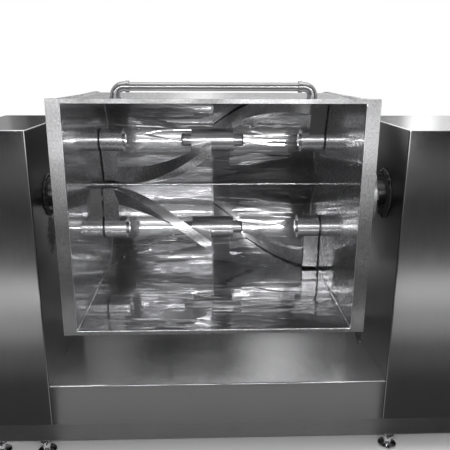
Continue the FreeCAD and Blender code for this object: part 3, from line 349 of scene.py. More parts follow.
def coated(name, kind, colour, rough):
    look = coats[kind]
    material, tree, shader = newMaterial(name)
    shader.inputs["Metallic"].default_value = look["metal"]
    cloud = noise(tree, objectCoords(tree), *look["cloud"])
    fine = noise(tree, objectCoords(tree), *look["fine"])
    darker = tuple(c * look["darker"] for c in colour)
    tree.links.new(mixColour(tree, remap(tree, cloud, 0, 1), darker, colour), shader.inputs["Base Color"])
    tree.links.new(remap(tree, cloud, rough + look["duller"], rough - look["glossier"]),
                   shader.inputs["Roughness"])
    bump(tree, shader, fine, *look["bump"])
    return material


def rubber(name, colour, rough):
    look = rubberLook
    material, tree, shader = newMaterial(name)
    dust = noise(tree, objectCoords(tree), *look["dust"])
    lighter = tuple(min(1, c * look["lighter"] + look["lift"]) for c in colour)
    tree.links.new(mixColour(tree, remap(tree, dust, 0, 1, *look["limits"]), colour, lighter),
                   shader.inputs["Base Color"])
    tree.links.new(remap(tree, dust, rough - look["glossier"], rough + look["duller"]),
                   shader.inputs["Roughness"])
    bump(tree, shader, dust, *look["bump"])
    return material


# grease: black and wet, with lumps
def grease(name, dark, light):
    look = greaseCoat
    material, tree, shader = newMaterial(name)
    lumps = noise(tree, objectCoords(tree), *look["lumps"])
    tree.links.new(mixColour(tree, remap(tree, lumps, 0, 1), dark, light), shader.inputs["Base Color"])
    tree.links.new(remap(tree, lumps, *look["rough"]), shader.inputs["Roughness"])
    bump(tree, shader, lumps, *look["bump"])
    return material


panelStain = {"at": (leftHigh.x, axisY - 0.004, axisZ - 0.148), "size": (0.004, 0.052, 0.066),
              "speckle": 0.45, "rough": 0.12, "colour": (0.012, 0.012, 0.012), "bump": 0.002}
armSteel = {"dark": 0.29, "light": 0.42, "grain": (30, 30, 12), "wave": (0.0006, (9, 9, 9)),
            "hairlines": (0.1, (50, 50, 20)), "veil": 0.25, "veilRough": 0.5}
armHub = {"radius": 0.046, "edge": 0.001, "level": 0.72}

# what each steel has of its own, beside steelDefaults
steels = {
    "panel": {"dark": 0.44, "light": 0.5, "rough": 0.13, "smudge": 0.02, "grain": (60, 60, 1),
              "wave": (0.0004, (2.2, 2.2, 1.4)), "stain": panelStain,
              # painted shade on the sides that face the trough: level is its colour, rough the added dullness
              "shadedSides": {"facing": 0.6, "within": 0.75, "rough": 0.24, "level": 0.14}},
    "table": {"dark": 0.42, "light": 0.47, "rough": 0.15, "smudge": 0.02, "grain": (60, 1.5, 60),
              "wave": (0.0003, (2, 2, 2))},
    "polished": {"dark": 0.66, "light": 0.86, "rough": 0.04, "grain": (2.2, 18, 18), "grainBump": 0.00001,
                 "hairlines": (0.06, (3, 90, 90)), "wave": (0.0026, (3.2, 9, 9)),
                 "ripple": (0.0006, (4, 26, 26)), "crease": (0.0010, (2.8, 17, 17)), "outside": 0.3,
                 "step": {"rough": 0.04, "amount": 0.35, "level": 0.8}, "veil": 0.22, "veilRough": 0.38},
    "end_plate": {"dark": 0.44, "light": 0.62, "rough": 0.1, "grain": (40, 3, 3), "grainBump": 0.00002,
                  "hairlines": (0.1, (90, 4, 60)), "wave": (0.0010, (4, 5, 5)), "scratches": 0.55,
                  "veil": 0.3},
    "rim": {"dark": 0.34, "light": 0.62, "smudge": 0.06, "grain": (16, 16, 12),
            "wave": (0.0006, (4, 4, 7)), "veil": 0.15},
    "blade": {"dark": 0.46, "light": 0.62, "rough": 0.27, "grain": (8, 50, 50),
              "hairlines": (0.12, (30, 60, 60)), "wave": (0.0008, (8, 14, 14)), "veil": 0.35},
    "lower_arm": {**armSteel, "hub": {**armHub, "axis": lowerAt}},
    "upper_arm": {**armSteel, "hub": {**armHub, "axis": upperAt}},
    "rotor": {"dark": 0.44, "light": 0.62, "rough": 0.18, "grain": (50, 8, 8),
              "hairlines": (0.1, (60, 20, 20)), "wave": (0.0006, (14, 14, 14)), "veil": 0.3},
    "bright": {"dark": 0.55, "light": 0.7, "rough": 0.12, "smudge": 0.03, "grain": (2, 60, 60)},
    "tube": {"dark": 0.18, "light": 0.3, "smudge": 0.05, "grain": (2, 60, 60), "veil": 0.3},
    "frame": {"dark": 0.36, "light": 0.46, "rough": 0.34, "grain": (2, 50, 50)},
    "gear": {"dark": 0.3, "light": 0.42, "rough": 0.32, "grain": (30, 30, 30)},
    # dark steel: oil on the trunnions, and painted shade on the rim's lug
    "oil_and_shade": {"dark": 0.05, "light": 0.16, "rough": 0.38, "smudge": 0.12, "grain": (14, 14, 14),
             "wave": (0.002, (30, 30, 30))},
    "weld": {"dark": 0.7, "light": 0.88, "rough": 0.12, "smudge": 0.08, "grain": (60, 60, 60),
             "wave": (0.0004, (60, 60, 60))},
}


def makeMaterials():
    return {
        **{key: steel(key + "_steel", choices) for key, choices in steels.items()},
        "legend": coated("legend_paint", "paint", (0.75, 0.75, 0.74), 0.5),
        "iron": coated("cast_iron", "iron", (0.2, 0.2, 0.21), 0.6),
        "paint": coated("machine_paint", "paint", (0.16, 0.19, 0.22), 0.38),
        "rubber": rubber("rubber", (0.02, 0.02, 0.02), 0.7),
        "grease": grease("grease", (0.006, 0.006, 0.006), (0.05, 0.048, 0.045)),
        "black": coated("black_plastic", "paint", (0.03, 0.03, 0.03), 0.35),
        "red": coated("red_plastic", "paint", (0.55, 0.02, 0.02), 0.25),
        "green": coated("green_plastic", "paint", (0.02, 0.3, 0.08), 0.25),
    }


# finish of each CAD piece
finishes = {
    "panel": "left_cabinet_shell right_cabinet_shell left_rear_door right_rear_door",
    "table": "discharge_table",
    "polished": "trough_shell",
    "end_plate": "left_end_plate right_end_plate ridge_stiffener",
    "rim": "mouth_rim",
    "rotor": "lower_centre_hub lower_rotor_shafts upper_centre_hub upper_rotor_shafts",
    "lower_arm": "lower_rotor_arms",
    "upper_arm": "upper_rotor_arms",
    "blade": "lower_left_blade lower_right_blade upper_left_blade upper_right_blade",
    "tube": "handle_tube handle_elbows",
    "bright": "left_door_latch right_door_latch door_hinge_pins levelling_feet",
    "frame": "base_frame gear_case",
    "gear": "lower_rotor_gear upper_rotor_gear drive_gear idler_gear idler_pin drive_shaft",
    # the rim's lug gets the dark finish as painted shade; the trunnions are oily
    "oil_and_shade": "left_trunnion right_trunnion rim_lug",
    "iron": "shaft_coupling motor_pulley reducer_pulley rotor_bearings trunnion_bearings",
    "paint": "bearing_posts main_motor motor_plate main_reducer reducer_shelf tilt_gearbox tilt_motor",
    "rubber": "drive_belts shaft_seals",
    "grease": "trunnion_rings",
    "black": "control_panel button_bezels tilt_selector timer_dial cable_gland",
    "red": "stop_button emergency_stop",
    "green": "start_button",
}


def paintNodes(materials):
    for key, names in finishes.items():
        for name in names.split():
            node = nodes[name]
            for slot in node.material_slots:
                slot.material = materials[key]
            if not node.material_slots:
                node.data.materials.append(materials[key])


# fasteners: head radius and height, number of sides, washer radius and height
headSockets = ("Head radius", "Head height", "Sides", "Washer radius", "Washer height")
heads = {
    "m12": (0.0104, 0.0075, 6, 0.012, 0.002),
    "m8": (0.0075, 0.0053, 6, 0.008, 0.0012),
    "m5": (0.0036, 0.004, 20, 0.0037, 0.0002),
    "cap": (0.0042, 0.0008, 20, 0.0042, 0.0002),
    "footNut": (0.0215, 0.010, 6, 0.023, 0.002),
}
# shares of the head's height and radius
headShape = {"bevel": 0.2, "shank": 0.8, "top": 0.84, "washerSides": 20}


def towards(axis, place):
    quarter = math.pi / 2
    turns = {"+X": (0, quarter, 0), "-X": (0, -quarter, 0), "-Y": (quarter, 0, 0), "+Z": (0, 0, 0)}
    return Matrix.Translation(Vector(place)) @ Euler(turns[axis]).to_matrix().to_4x4()


def finished(name, meshes, body, material):
    whole = bmesh.new()
    for part in meshes:
        whole.from_mesh(part)
        bpy.data.meshes.remove(part)
    mesh = bpy.data.meshes.new(name)
    whole.to_mesh(mesh)
    whole.free()
    mesh.materials.append(material)
    item = bpy.data.objects.new(name, mesh)
    bpy.context.scene.collection.objects.link(item)
    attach(item, body)


def socketsOf(tree, wanted):
    made = {}
    for name, kind in wanted.items():
        socket = tree.interface.new_socket(name=name, in_out="INPUT", socket_type="NodeSocket" + kind)
        made[name] = socket.identifier
    tree.interface.new_socket(name="Geometry", in_out="OUTPUT", socket_type="NodeSocketGeometry")
    return made


# the end of a tree: instances made real, with the material that was given
def endTree(tree, geometry, given):
    realize = tree.nodes.new("GeometryNodeRealizeInstances")
    finish = tree.nodes.new("GeometryNodeSetMaterial")
    result = tree.nodes.new("NodeGroupOutput")
    tree.links.new(geometry, realize.inputs[0])
    tree.links.new(realize.outputs[0], finish.inputs["Geometry"])
    tree.links.new(given.outputs["Material"], finish.inputs["Material"])
    tree.links.new(finish.outputs[0], result.inputs[0])


# heads on a set of points: a bevelled head with any number of sides on a round washer
def makeHeadTree():
    tree = bpy.data.node_groups.new("boltHeads", "GeometryNodeTree")
    sockets = socketsOf(tree, {"Geometry": "Geometry", "Head radius": "Float", "Head height": "Float",
                               "Sides": "Int", "Washer radius": "Float", "Washer height": "Float",
                               "Material": "Material"})
    new, link = tree.nodes.new, tree.links.new
    given = new("NodeGroupInput")

    def raised(geometry, height):
        offset = new("ShaderNodeCombineXYZ")
        link(height, offset.inputs["Z"])
        move = new("GeometryNodeTransform")
        link(geometry, move.inputs["Geometry"])
        link(offset.outputs[0], move.inputs["Translation"])
        return move.outputs[0]

    radius, height = given.outputs["Head radius"], given.outputs["Head height"]
    washerHeight = given.outputs["Washer height"]
    bevelHeight = math2(tree, "MULTIPLY", height, headShape["bevel"])
    shankHeight = math2(tree, "MULTIPLY", height, headShape["shank"])
    washer = new("GeometryNodeMeshCylinder")
    washer.inputs["Vertices"].default_value = headShape["washerSides"]
    link(given.outputs["Washer radius"], washer.inputs["Radius"])
    link(washerHeight, washer.inputs["Depth"])
    head = new("GeometryNodeMeshCylinder")
    link(given.outputs["Sides"], head.inputs["Vertices"])
    link(radius, head.inputs["Radius"])
    link(shankHeight, head.inputs["Depth"])
    bevel = new("GeometryNodeMeshCone")
    link(given.outputs["Sides"], bevel.inputs["Vertices"])
    link(radius, bevel.inputs["Radius Bottom"])
    link(math2(tree, "MULTIPLY", radius, headShape["top"]), bevel.inputs["Radius Top"])
    link(bevelHeight, bevel.inputs["Depth"])
    join = new("GeometryNodeJoinGeometry")
    link(raised(bevel.outputs["Mesh"], math2(tree, "ADD", washerHeight, shankHeight)), join.inputs[0])
    link(raised(head.outputs["Mesh"], plus(tree, washerHeight, shankHeight, 0.5)), join.inputs[0])
    link(raised(washer.outputs["Mesh"], math2(tree, "MULTIPLY", washerHeight, 0.5)), join.inputs[0])
    spread = new("GeometryNodeInstanceOnPoints")
    link(given.outputs["Geometry"], spread.inputs["Points"])
    link(join.outputs[0], spread.inputs["Instance"])
    endTree(tree, spread.outputs[0], given)
    return tree, sockets


# weld bead along a line: a round bead whose thickness ripples
beadSides = 8


def makeBeadTree():
    tree = bpy.data.node_groups.new("weldBead", "GeometryNodeTree")
    sockets = socketsOf(tree, {"Geometry": "Geometry", "Radius": "Float", "Ripple": "Float",
                               "Spacing": "Float", "Seed": "Int", "Material": "Material"})
    new, link = tree.nodes.new, tree.links.new
    given = new("NodeGroupInput")
    curve = new("GeometryNodeMeshToCurve")
    link(given.outputs["Geometry"], curve.inputs["Mesh"])
    even = new("GeometryNodeResampleCurve")
    even.mode = "LENGTH"
    link(curve.outputs[0], even.inputs["Curve"])
    link(given.outputs["Spacing"], even.inputs["Length"])
    change = new("FunctionNodeRandomValue")
    change.data_type = "FLOAT"
    # sockets 2 and 3 are the lowest and the highest number
    link(math2(tree, "SUBTRACT", 1, given.outputs["Ripple"]), change.inputs[2])
    change.inputs[3].default_value = 1
    link(given.outputs["Seed"], change.inputs["Seed"])
    ring = new("GeometryNodeCurvePrimitiveCircle")
    ring.inputs["Resolution"].default_value = beadSides
    link(given.outputs["Radius"], ring.inputs["Radius"])
    bead = new("GeometryNodeCurveToMesh")
    link(even.outputs[0], bead.inputs["Curve"])
    link(ring.outputs[0], bead.inputs["Profile Curve"])
    link(change.outputs[1], bead.inputs["Scale"])
    bead.inputs["Fill Caps"].default_value = True
    endTree(tree, bead.outputs[0], given)
    return tree, sockets


def evaluated(item):
    bpy.context.view_layer.update()
    return bpy.data.meshes.new_from_object(item.evaluated_get(bpy.context.evaluated_depsgraph_get()))


def grown(tree, sockets, points, edges, values):
    mesh = bpy.data.meshes.new("seedPoints")
    mesh.from_pydata(points, edges, [])
    item = bpy.data.objects.new("seedPoints", mesh)
    bpy.context.scene.collection.objects.link(item)
    modifier = item.modifiers.new("grow", "NODES")
    modifier.node_group = tree
    for name, value in values.items():
        modifier[sockets[name]] = value
    result = evaluated(item)
    item.modifiers.remove(modifier)
    bpy.data.objects.remove(item)
    return result


# places of the fasteners. circle is the radius that the bolts sit on, and stand the height of their seat
# over the sheet or plate behind it
seats = {
    "trunnion": {"circle": 0.080, "stand": 0.014},
    "rotorBearing": {"circle": 0.0575, "stand": 0.012},
    "caseFlange": {"inset": 0.0044, "spacing": 0.062, "stand": 0.008},
    "lug": {"inset": 0.009, "behind": 0.0012, "below": 0.048},
    "trunnionBearing": {"circle": 0.085, "stand": 0.046},
    "gearbox": {"circle": 0.072},
    "reducer": {"xs": (0.022, 0.128), "ys": (-0.120, 0.120), "below": 0.210},
    "panel": {"inset": 0.009},
    "foot": {"insetX": 0.040, "insetY": 0.035, "height": 0.046},
    "ring": {"stand": 0.008, "place": (0.003, 0.058, 0)},
}


def onCircle(count, radius, start=0.0):
    angles = [start + 2 * math.pi * i / count for i in range(count)]
    return [(radius * math.cos(angle), radius * math.sin(angle), 0) for angle in angles]


# bolt places along the rounded triangle of the gear case's flange
def caseOutline(radius, spacing):
    corners = [(axisY, axisZ), (lowerAt.y, lowerAt.z), (upperAt.y, upperAt.z)]
    spots = []
    for index, (y0, z0) in enumerate(corners):
        y1, z1 = corners[(index + 1) % 3]
        y2, z2 = corners[(index + 2) % 3]
        away = Vector((y1 - y0, z1 - z0)).normalized()
        out = Vector((away.y, -away.x))
        length = math.hypot(y1 - y0, z1 - z0)
        count = max(2, round(length / spacing))
        for step in range(count + 1):
            spot = Vector((y0, z0)) + away * length * step / count + out * radius
            spots.append((spot.x, spot.y))
        nextAway = Vector((y2 - y1, z2 - z1)).normalized()
        nextOut = Vector((nextAway.y, -nextAway.x))
        halfWay = (out + nextOut).normalized()
        spots.append((y1 + halfWay.x * radius, z1 + halfWay.y * radius))
    return spots


# groups of fasteners on a body: kind, direction, place of the group, places in the group
def fastenerGroups():
    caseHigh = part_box("gear_case")[1]
    reducerLow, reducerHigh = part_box("main_reducer")
    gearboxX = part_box("tilt_gearbox")[0].x
    leftPlate, rightPlate = middleX - plateFace, middleX + plateFace
    trunnion, bearing, case = seats["trunnion"], seats["rotorBearing"], seats["caseFlange"]
    housing, reducer, lug, ring = seats["trunnionBearing"], seats["reducer"], seats["lug"], seats["ring"]
    foot, inset = seats["foot"], seats["panel"]["inset"]
    trunnionBolts = onCircle(6, trunnion["circle"], math.pi / 6)
    bearingBolts = onCircle(6, bearing["circle"])
    housingBolts = onCircle(6, housing["circle"], math.pi / 6)
    caseSpots = caseOutline(caseHigh.z - upperAt.z - case["inset"], case["spacing"])
    reducerSpots = [(reducerLow.x + x, axisY + y, 0) for x in reducer["xs"] for y in reducer["ys"]]
    panelSpots = [(x, z, 0) for z in (panelLow.z + inset, panelHigh.z - inset)
                  for x in (panelLow.x + inset, panelHigh.x - inset)]
    footXs = [x for low, high in ((leftLow.x, leftHigh.x), (rightLow.x, rightHigh.x))
              for x in (low + foot["insetX"], high - foot["insetX"])]
    footYs = (leftLow.y + foot["insetY"], leftHigh.y - foot["insetY"])
    return {
        "trough": [
            ("m12", "-X", (leftPlate - trunnion["stand"], axisY, axisZ), trunnionBolts),
            ("m12", "+X", (caseHigh.x + trunnion["stand"], axisY, axisZ), trunnionBolts),
            ("m8", "-X", (leftPlate - bearing["stand"], lowerAt.y, lowerAt.z), bearingBolts),
            ("m8", "-X", (leftPlate - bearing["stand"], upperAt.y, upperAt.z), bearingBolts),
            ("m5", "+X", (rightPlate + case["stand"], 0, 0), [(-z, y, 0) for y, z in caseSpots]),
            ("cap", "-Y", (rimHigh.x - lug["inset"], mouthY + lug["behind"], insideBottom - lug["below"]),
             [(0, 0, 0)]),
        ],
        "base": [
            ("m12", "-X", (leftHigh.x - housing["stand"], axisY, axisZ), housingBolts),
            ("m12", "+X", (rightLow.x + housing["stand"], axisY, axisZ), housingBolts),
            ("m8", "-X", (gearboxX, axisY, axisZ), onCircle(8, seats["gearbox"]["circle"])),
            ("m8", "+Z", (0, 0, reducerHigh.z - reducer["below"]), reducerSpots),
            ("m5", "-Y", (0, panelLow.y, 0), panelSpots),
            ("footNut", "+Z", (0, 0, foot["height"]), [(x, y, 0) for x in footXs for y in footYs]),
            ("m8", "-X", (rightLow.x - ring["stand"], axisY, axisZ), [ring["place"]]),
        ],
    }


def makeFasteners(materials):
    tree, sockets = makeHeadTree()
    for body, groups in fastenerGroups().items():
        meshes = []
        for kind, axis, place, points in groups:
            sizes = dict(zip(headSockets, heads[kind]))
            mesh = grown(tree, sockets, points, [], {**sizes, "Material": materials["bright"]})
            mesh.transform(towards(axis, place))
            meshes.append(mesh)
        finished(body + "_fasteners", meshes, body, materials["bright"])


# welds of the trough. The corner beads end cornerStart behind the mouth, and its own bead lies mouthDepth
# behind it
beads = {"corner": {"Radius": 0.0032, "Ripple": 0.25, "Spacing": 0.004},
         "middle": {"Radius": 0.0011, "Ripple": 0.4, "Spacing": 0.005},
         "ridge": {"Radius": 0.0036, "Ripple": 0.12, "Spacing": 0.012},
         "mouth": {"Radius": 0.0014, "Ripple": 0.2, "Spacing": 0.008}}
weldPath = {"cornerStart": 0.016, "mouthDepth": 0.0016, "steps": 32}


def wallPath(x):
    front, steps = mouthY + weldPath["cornerStart"], weldPath["steps"]
    path = [(x, front, insideTop)]
    for centre in (upperAt, lowerAt):
        for step in range(steps + 1):
            angle = math.pi / 2 - math.pi * step / steps
            path.append((x, centre.y + troughRadius * math.cos(angle),
                         centre.z + troughRadius * math.sin(angle)))
    path.append((x, front, insideBottom))
    return path


def makeWelds(materials):
    tree, sockets = makeBeadTree()
    left, right = middleX - halfLength, middleX + halfLength
    y = mouthY + weldPath["mouthDepth"]
    mouth = [(left, y, insideBottom), (right, y, insideBottom), (right, y, insideTop), (left, y, insideTop),
             (left, y, insideBottom)]
    ridge = [(left, lowerAt.y, axisZ), (right, lowerAt.y, axisZ)]
    lines = (("corner", wallPath(left)), ("corner", wallPath(right)), ("middle", wallPath(middleX)),
             ("ridge", ridge), ("mouth", mouth))
    meshes = []
    for seed, (kind, path) in enumerate(lines):
        edges = [(i, i + 1) for i in range(len(path) - 1)]
        values = {**beads[kind], "Seed": seed, "Material": materials["weld"]}
        meshes.append(grown(tree, sockets, path, edges, values))
    finished("trough_welds", meshes, "trough", materials["weld"])


# grease pressed out round the trunnions: rings whose thickness changes in waves and sags at the bottom
greaseLook = {"thick": 0.0055, "lumps": 0.55, "waves": 7, "counts": (3, 23), "starts": (0, 6.28),
              "sizes": (0.3, 1), "evened": 3.2, "sag": 0.35, "wide": 1.5, "rise": 0.35, "high": 0.9,
              "around": 120, "across": 10, "seed": 4, "left": (0.066,), "right": (0.080, 0.069, 0.059)}


def greaseBead(chance, x, side, radius):
    look = greaseLook
    waves = [(chance.randint(*look["counts"]), chance.uniform(*look["starts"]),
              chance.uniform(*look["sizes"])) for wave in range(look["waves"])]
    points, faces = [], []
    around, across = look["around"], look["across"]
    for i in range(around):
        angle = 2 * math.pi * i / around
        lump = sum(size * math.sin(count * angle + start) for count, start, size in waves) / look["evened"]
        sag = look["sag"] * max(0, -math.sin(angle)) ** 3
        thick = look["thick"] * (1 + look["lumps"] * lump + sag)
        for j in range(across):
            turn = 2 * math.pi * j / across
            out = radius + thick * look["wide"] * math.cos(turn)
            height = max(0.0, thick * (look["rise"] + math.sin(turn))) * look["high"]
            points.append((x + side * height, axisY + out * math.cos(angle), axisZ + out * math.sin(angle)))
            nextI, nextJ = (i + 1) % around, (j + 1) % across
            faces.append((i * across + j, nextI * across + j, nextI * across + nextJ, i * across + nextJ))
    mesh = bpy.data.meshes.new("greaseBead")
    mesh.from_pydata(points, [], faces)
    shape = bmesh.new()
    shape.from_mesh(mesh)
    bmesh.ops.recalc_face_normals(shape, faces=shape.faces)
    shape.to_mesh(mesh)
    shape.free()
    mesh.shade_smooth()
    return mesh


def makeGrease(materials):
    chance = random.Random(greaseLook["seed"])
    for end, x, side in (("left", leftHigh.x, 1), ("right", rightLow.x, -1)):
        meshes = [greaseBead(chance, x, side, radius) for radius in greaseLook[end]]
        finished(end + "_grease", meshes, "base", materials["grease"])


# legends on the control panel: ON and OFF, a minute scale round the dial and two arrows for the tilt
legend = {"height": 0.0065, "above": 0.0235, "thick": 0.0004}
scaleMarks = {"sweep": 300, "minutes": 30, "from": 0.0182, "long": 0.0028, "short": 0.0018,
              "wide": 0.0005, "narrow": 0.0003, "numberAt": 0.0255, "numberHeight": 0.0055}
arrows = {"turn": 45, "at": 0.0235, "half": 0.003, "foot": 0.002}


def letters(words, size, x, z):
    curve = bpy.data.curves.new("letters", "FONT")
    curve.body = words
    curve.size = size
    curve.align_x = "CENTER"
    curve.align_y = "CENTER"
    curve.extrude = legend["thick"]
    item = bpy.data.objects.new("letters", curve)
    bpy.context.scene.collection.objects.link(item)
    mesh = evaluated(item)
    bpy.data.objects.remove(item)
    mesh.transform(towards("-Y", (x, panelLow.y, z)))
    return mesh


def slab(corners):
    front, back = panelLow.y - legend["thick"], panelLow.y + legend["thick"]
    count = len(corners)
    points = [(x, front, z) for x, z in corners] + [(x, back, z) for x, z in corners]
    faces = [tuple(range(count)), tuple(reversed(range(count, 2 * count)))]
    faces += [(i, i + count, (i + 1) % count + count, (i + 1) % count) for i in range(count)]
    mesh = bpy.data.meshes.new("slab")
    mesh.from_pydata(points, [], faces)
    return mesh


def direction(angle):
    return Vector((math.sin(angle), math.cos(angle)))


def middleOf(name):
    low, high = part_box(name)
    return (low + high) / 2


def makeLegends(materials):
    meshes = []
    for words, button in (("ON", "start_button"), ("OFF", "stop_button")):
        at = middleOf(button)
        meshes.append(letters(words, legend["height"], at.x, at.z + legend["above"]))
    dial = middleOf("timer_dial")
    middle = Vector((dial.x, dial.z))
    for minute in range(scaleMarks["minutes"] + 1):
        away = direction(math.radians(scaleMarks["sweep"] * minute / scaleMarks["minutes"]))
        fifth = minute % 5 == 0
        side = Vector((away.y, -away.x)) * scaleMarks["wide" if fifth else "narrow"]
        first = middle + away * scaleMarks["from"]
        last = first + away * scaleMarks["long" if fifth else "short"]
        meshes.append(slab([first - side, first + side, last + side, last - side]))
        if minute % 10 == 0:
            spot = middle + away * scaleMarks["numberAt"]
            meshes.append(letters(str(minute), scaleMarks["numberHeight"], spot.x, spot.y))
    knob = middleOf("tilt_selector")
    half, foot = arrows["half"], arrows["foot"]
    for turn, flip in ((-arrows["turn"], 1), (arrows["turn"], -1)):
        away = direction(math.radians(turn)) * arrows["at"]
        x, z = knob.x + away.x, knob.z + away.y
        meshes.append(slab([(x - half, z - foot * flip), (x, z + half * flip), (x + half, z - foot * flip)]))
    finished("panel_legends", meshes, "base", materials["legend"])


# studio: pale floor that fades to white, white surroundings, lamps, and cards that only the metal sees
studio = {"floorHalf": 30.0, "floorLevel": 0.85, "floorRough": 0.8, "fadeFrom": 1.3, "fadeTo": 4.5,
          "ambient": 0.6}

# place, target, width, height and power. The strip's place is measured from the camera, and it draws the
# trough's streaks
lamps = {
    "camera_strip": ((0, -0.05, 0.12), (middleX, 0.2, 0.9), 2.2, 0.07, 22),
    "top_light": ((0, -0.3, 3.2), (0, 0.1, 0.5), 3.0, 1.4, 30),
    "rear_light": ((0.5, 2.6, 2.4), (0, 0, 0.8), 2.5, 1.2, 20),
}

# the cards' places: front board and mat before the cabinets, rear board and mat behind them, high board
frontY = leftLow.y
boardY = frontY - 2.4
nearY = frontY - 0.02
farX, innerX = 5, 1.36                                   # outer and inner end of the side cards
nearLeft, nearRight = -0.7, 0.52                         # edges of the middle mat at the cabinets
boardTop = 4
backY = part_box("left_rear_door")[1].y + 0.02
rearY, rearX = 1.3, 2.5
rearSplit, rearTop = 0.88, 1.27                          # foot and top of the upper rear board
highY, highFoot, highTop = 2, 1.2, 1.8
matZ, stripZ = 0.003, 0.006

# how bright the cards are along one axis: place and level
stops = {
    "sideMat": [(boardY, 0.12), (frontY - 2.1, 0.2), (frontY - 1.58, 0.84), (frontY - 1.1, 0.45),
                (frontY - 0.75, 0.14), (frontY - 0.45, 0.06), (nearY, 0.05)],
    "middleMat": [(boardY, 0.1), (frontY - 2.1, 0.06), (frontY - 1.58, 0.05), (frontY - 1.1, 0.07),
                  (frontY - 0.75, 0.12), (frontY - 0.45, 0.3), (nearY, 0.2)],
    "sideBoard": [(0.0, 0.1), (0.36, 0.05), (0.62, 0.13), (0.75, 0.12), (0.92, 0.03), (1.4, 0.03),
                  (boardTop, 0.1)],
    "middleBoard": [(0.0, 0.08), (0.21, 0.1), (0.45, 0.2), (0.68, 0.4), (0.9, 2.0), (1.05, 1.0), (1.2, 0.4),
                    (1.5, 0.2), (boardTop, 0.14)],
    "floorStrip": [(-1.4, 1.2), (1.2, 1.2)],
    "rearUpper": [(-2.5, 0.04), (-1.04, 0.12), (-0.77, 0.24), (-0.42, 0.02), (-0.05, 0.1), (0.31, 0.75),
                  (0.69, 0.18), (0.96, 0.04), (2.5, 0.04)],
    "rearLeft": [(0.0, 0.04), (0.21, 0.08), (0.37, 0.3), (0.56, 0.6), (0.67, 0.45), (0.8, 0.12),
                 (rearSplit, 0.06)],
    "rearRight": [(0.0, 0.1), (0.12, 0.3), (0.32, 0.75), (0.44, 0.55), (0.6, 0.15), (rearSplit, 0.04)],
    "rearMat": [(backY, 0.06), (0.6, 0.1), (0.88, 0.4), (1.1, 0.12), (rearY, 0.05)],
    "highLeft": [(-3.0, 0.44), (-1.53, 0.36), (-1.48, 0.2), (-1.42, 0.14), (-1.36, 0.06), (-1.2, 0.08)],
    "highMiddle": [(-1.2, 0.28), (-0.45, 0.3), (-0.16, 0.75), (0.1, 0.3), (1.1, 0.26)],
    "highRight": [(1.1, 0.3), (1.24, 0.45), (1.38, 1.4), (1.46, 1.4), (1.6, 0.9), (3.0, 0.9)],
}


def upright(x0, x1, y, z0, z1):
    return [(x0, y, z0), (x1, y, z0), (x1, y, z1), (x0, y, z1)]


# a lying card, from x0 to x1 at y0 and from x2 to x3 at y1
def lying(x0, x1, y0, x2, x3, y1, z):
    return [(x0, y0, z), (x1, y0, z), (x3, y1, z), (x2, y1, z)]


# cards: the axis that their light changes along, its stops and the corners
cards = {
    "left_front_mat": ("Y", "sideMat", lying(-farX, -innerX, boardY, -farX, nearLeft, nearY, matZ)),
    "left_front_board": ("Z", "sideBoard", upright(-farX, -innerX, boardY, 0, boardTop)),
    "middle_front_mat": ("Y", "middleMat", lying(-innerX, innerX, boardY, nearLeft, nearRight, nearY, matZ)),
    "middle_front_board": ("Z", "middleBoard", upright(-innerX, innerX, boardY, 0, boardTop)),
    "right_front_mat": ("Y", "sideMat", lying(innerX, farX, boardY, nearRight, farX, nearY, matZ)),
    "right_front_board": ("Z", "sideBoard", upright(innerX, farX, boardY, 0, boardTop)),
    "floor_strip": ("X", "floorStrip", lying(-1.2, 1.0, -1.76, -1.2, 1.0, -1.66, stripZ)),
    "rear_board_upper": ("X", "rearUpper", upright(-rearX, rearX, rearY, rearSplit, rearTop)),
    "left_rear_board": ("Z", "rearLeft", upright(-rearX, -0.1, rearY, 0, rearSplit)),
    "right_rear_board": ("Z", "rearRight", upright(-0.1, rearX, rearY, 0, rearSplit)),
    "rear_mat": ("Y", "rearMat", lying(-rearX, rearX, backY, -rearX, rearX, rearY, matZ)),
    "left_side_board": ("X", "highLeft", upright(-3.0, -1.2, highY, highFoot, highTop)),
    "middle_high_board": ("X", "highMiddle", upright(-1.2, 1.1, highY, highFoot, highTop)),
    "right_side_board": ("X", "highRight", upright(1.1, 3.0, highY, highFoot, highTop)),
}


def card(name, corners, material):
    mesh = bpy.data.meshes.new(name)
    mesh.from_pydata(corners, [], [(0, 1, 2, 3)])
    mesh.materials.append(material)
    item = bpy.data.objects.new(name, mesh)
    bpy.context.scene.collection.objects.link(item)
    return item


def glowCard(name, axis, levels, corners):
    material = bpy.data.materials.new(name)
    material.use_nodes = True
    tree = material.node_tree
    tree.nodes.clear()
    output = tree.nodes.new("ShaderNodeOutputMaterial")
    glow = tree.nodes.new("ShaderNodeEmission")
    ramp = tree.nodes.new("ShaderNodeValToRGB")
    first, last = levels[0][0], levels[-1][0]
    place = remap(tree, alongAxis(tree, objectCoords(tree), axis), 0, 1, first, last)
    tree.links.new(place, ramp.inputs[0])
    tree.links.new(ramp.outputs[0], glow.inputs["Color"])
    tree.links.new(glow.outputs[0], output.inputs[0])
    ramp.color_ramp.interpolation = "EASE"
    while len(ramp.color_ramp.elements) < len(levels):
        ramp.color_ramp.elements.new(0.5)
    for element, (at, level) in zip(ramp.color_ramp.elements, levels):
        element.position = (at - first) / (last - first)
        element.color = (level, level, level, 1)
    item = card(name, corners, material)
    item.visible_camera = False
    item.visible_diffuse = False
    item.visible_shadow = False
    item.visible_transmission = False


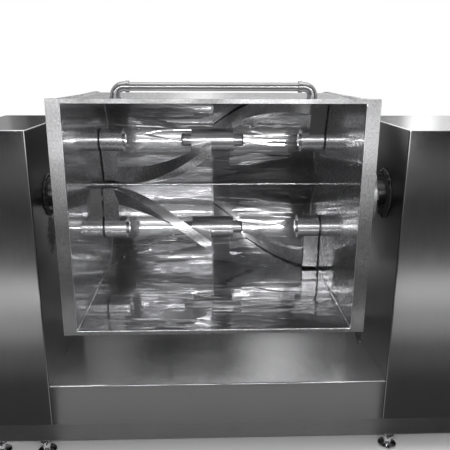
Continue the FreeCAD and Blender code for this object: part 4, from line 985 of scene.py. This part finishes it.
def areaLamp(name, place, target, width, height, power):
    data = bpy.data.lights.new(name, "AREA")
    data.shape = "RECTANGLE"
    data.size = width
    data.size_y = height
    data.energy = power
    item = bpy.data.objects.new(name, data)
    bpy.context.scene.collection.objects.link(item)
    item.location = place
    item.rotation_euler = (Vector(target) - Vector(place)).to_track_quat("-Z", "Y").to_euler()


def makeFloor():
    half, level = studio["floorHalf"], studio["floorLevel"]
    material, tree, shader = newMaterial("studio_floor")
    shader.inputs["Base Color"].default_value = (level, level, level, 1)
    shader.inputs["Roughness"].default_value = studio["floorRough"]
    length = vectorMath(tree, "LENGTH", objectCoords(tree))
    fade = remap(tree, length, 0, 1, studio["fadeFrom"], studio["fadeTo"])
    mixShaders(tree, fade, shader, tree.nodes.new("ShaderNodeEmission"))
    card("studio_floor", lying(-half, half, -half, -half, half, half, 0), material)


def makeWorld():
    world = bpy.data.worlds.new("studio")
    bpy.context.scene.world = world
    world.use_nodes = True
    tree = world.node_tree
    tree.nodes.clear()
    output = tree.nodes.new("ShaderNodeOutputWorld")
    glow = tree.nodes.new("ShaderNodeBackground")
    glow.inputs["Color"].default_value = (1, 1, 1, 1)
    path = tree.nodes.new("ShaderNodeLightPath")
    seen = math2(tree, "MAXIMUM", path.outputs["Is Camera Ray"], path.outputs["Is Glossy Ray"])
    seen = math2(tree, "MAXIMUM", seen, path.outputs["Is Transmission Ray"])
    tree.links.new(remap(tree, seen, studio["ambient"], 1.0, 0, 1), glow.inputs["Strength"])
    tree.links.new(glow.outputs[0], output.inputs[0])


def makeStudio():
    makeFloor()
    makeWorld()
    for name, (axis, key, corners) in cards.items():
        glowCard(name, axis, stops[key], corners)
    eye = Vector(bpy.context.scene.camera.location)
    for name, (place, *rest) in lamps.items():
        start = eye if name == "camera_strip" else Vector()
        areaLamp(name, start + Vector(place), *rest)


makeCamera()
print("camera placed")
materials = makeMaterials()
paintNodes(materials)
print("finishes laid on")
makeFasteners(materials)
print("fasteners set")
makeWelds(materials)
makeGrease(materials)
print("welds and grease laid")
makeLegends(materials)
print("legends set")
makeStudio()
print("studio set")
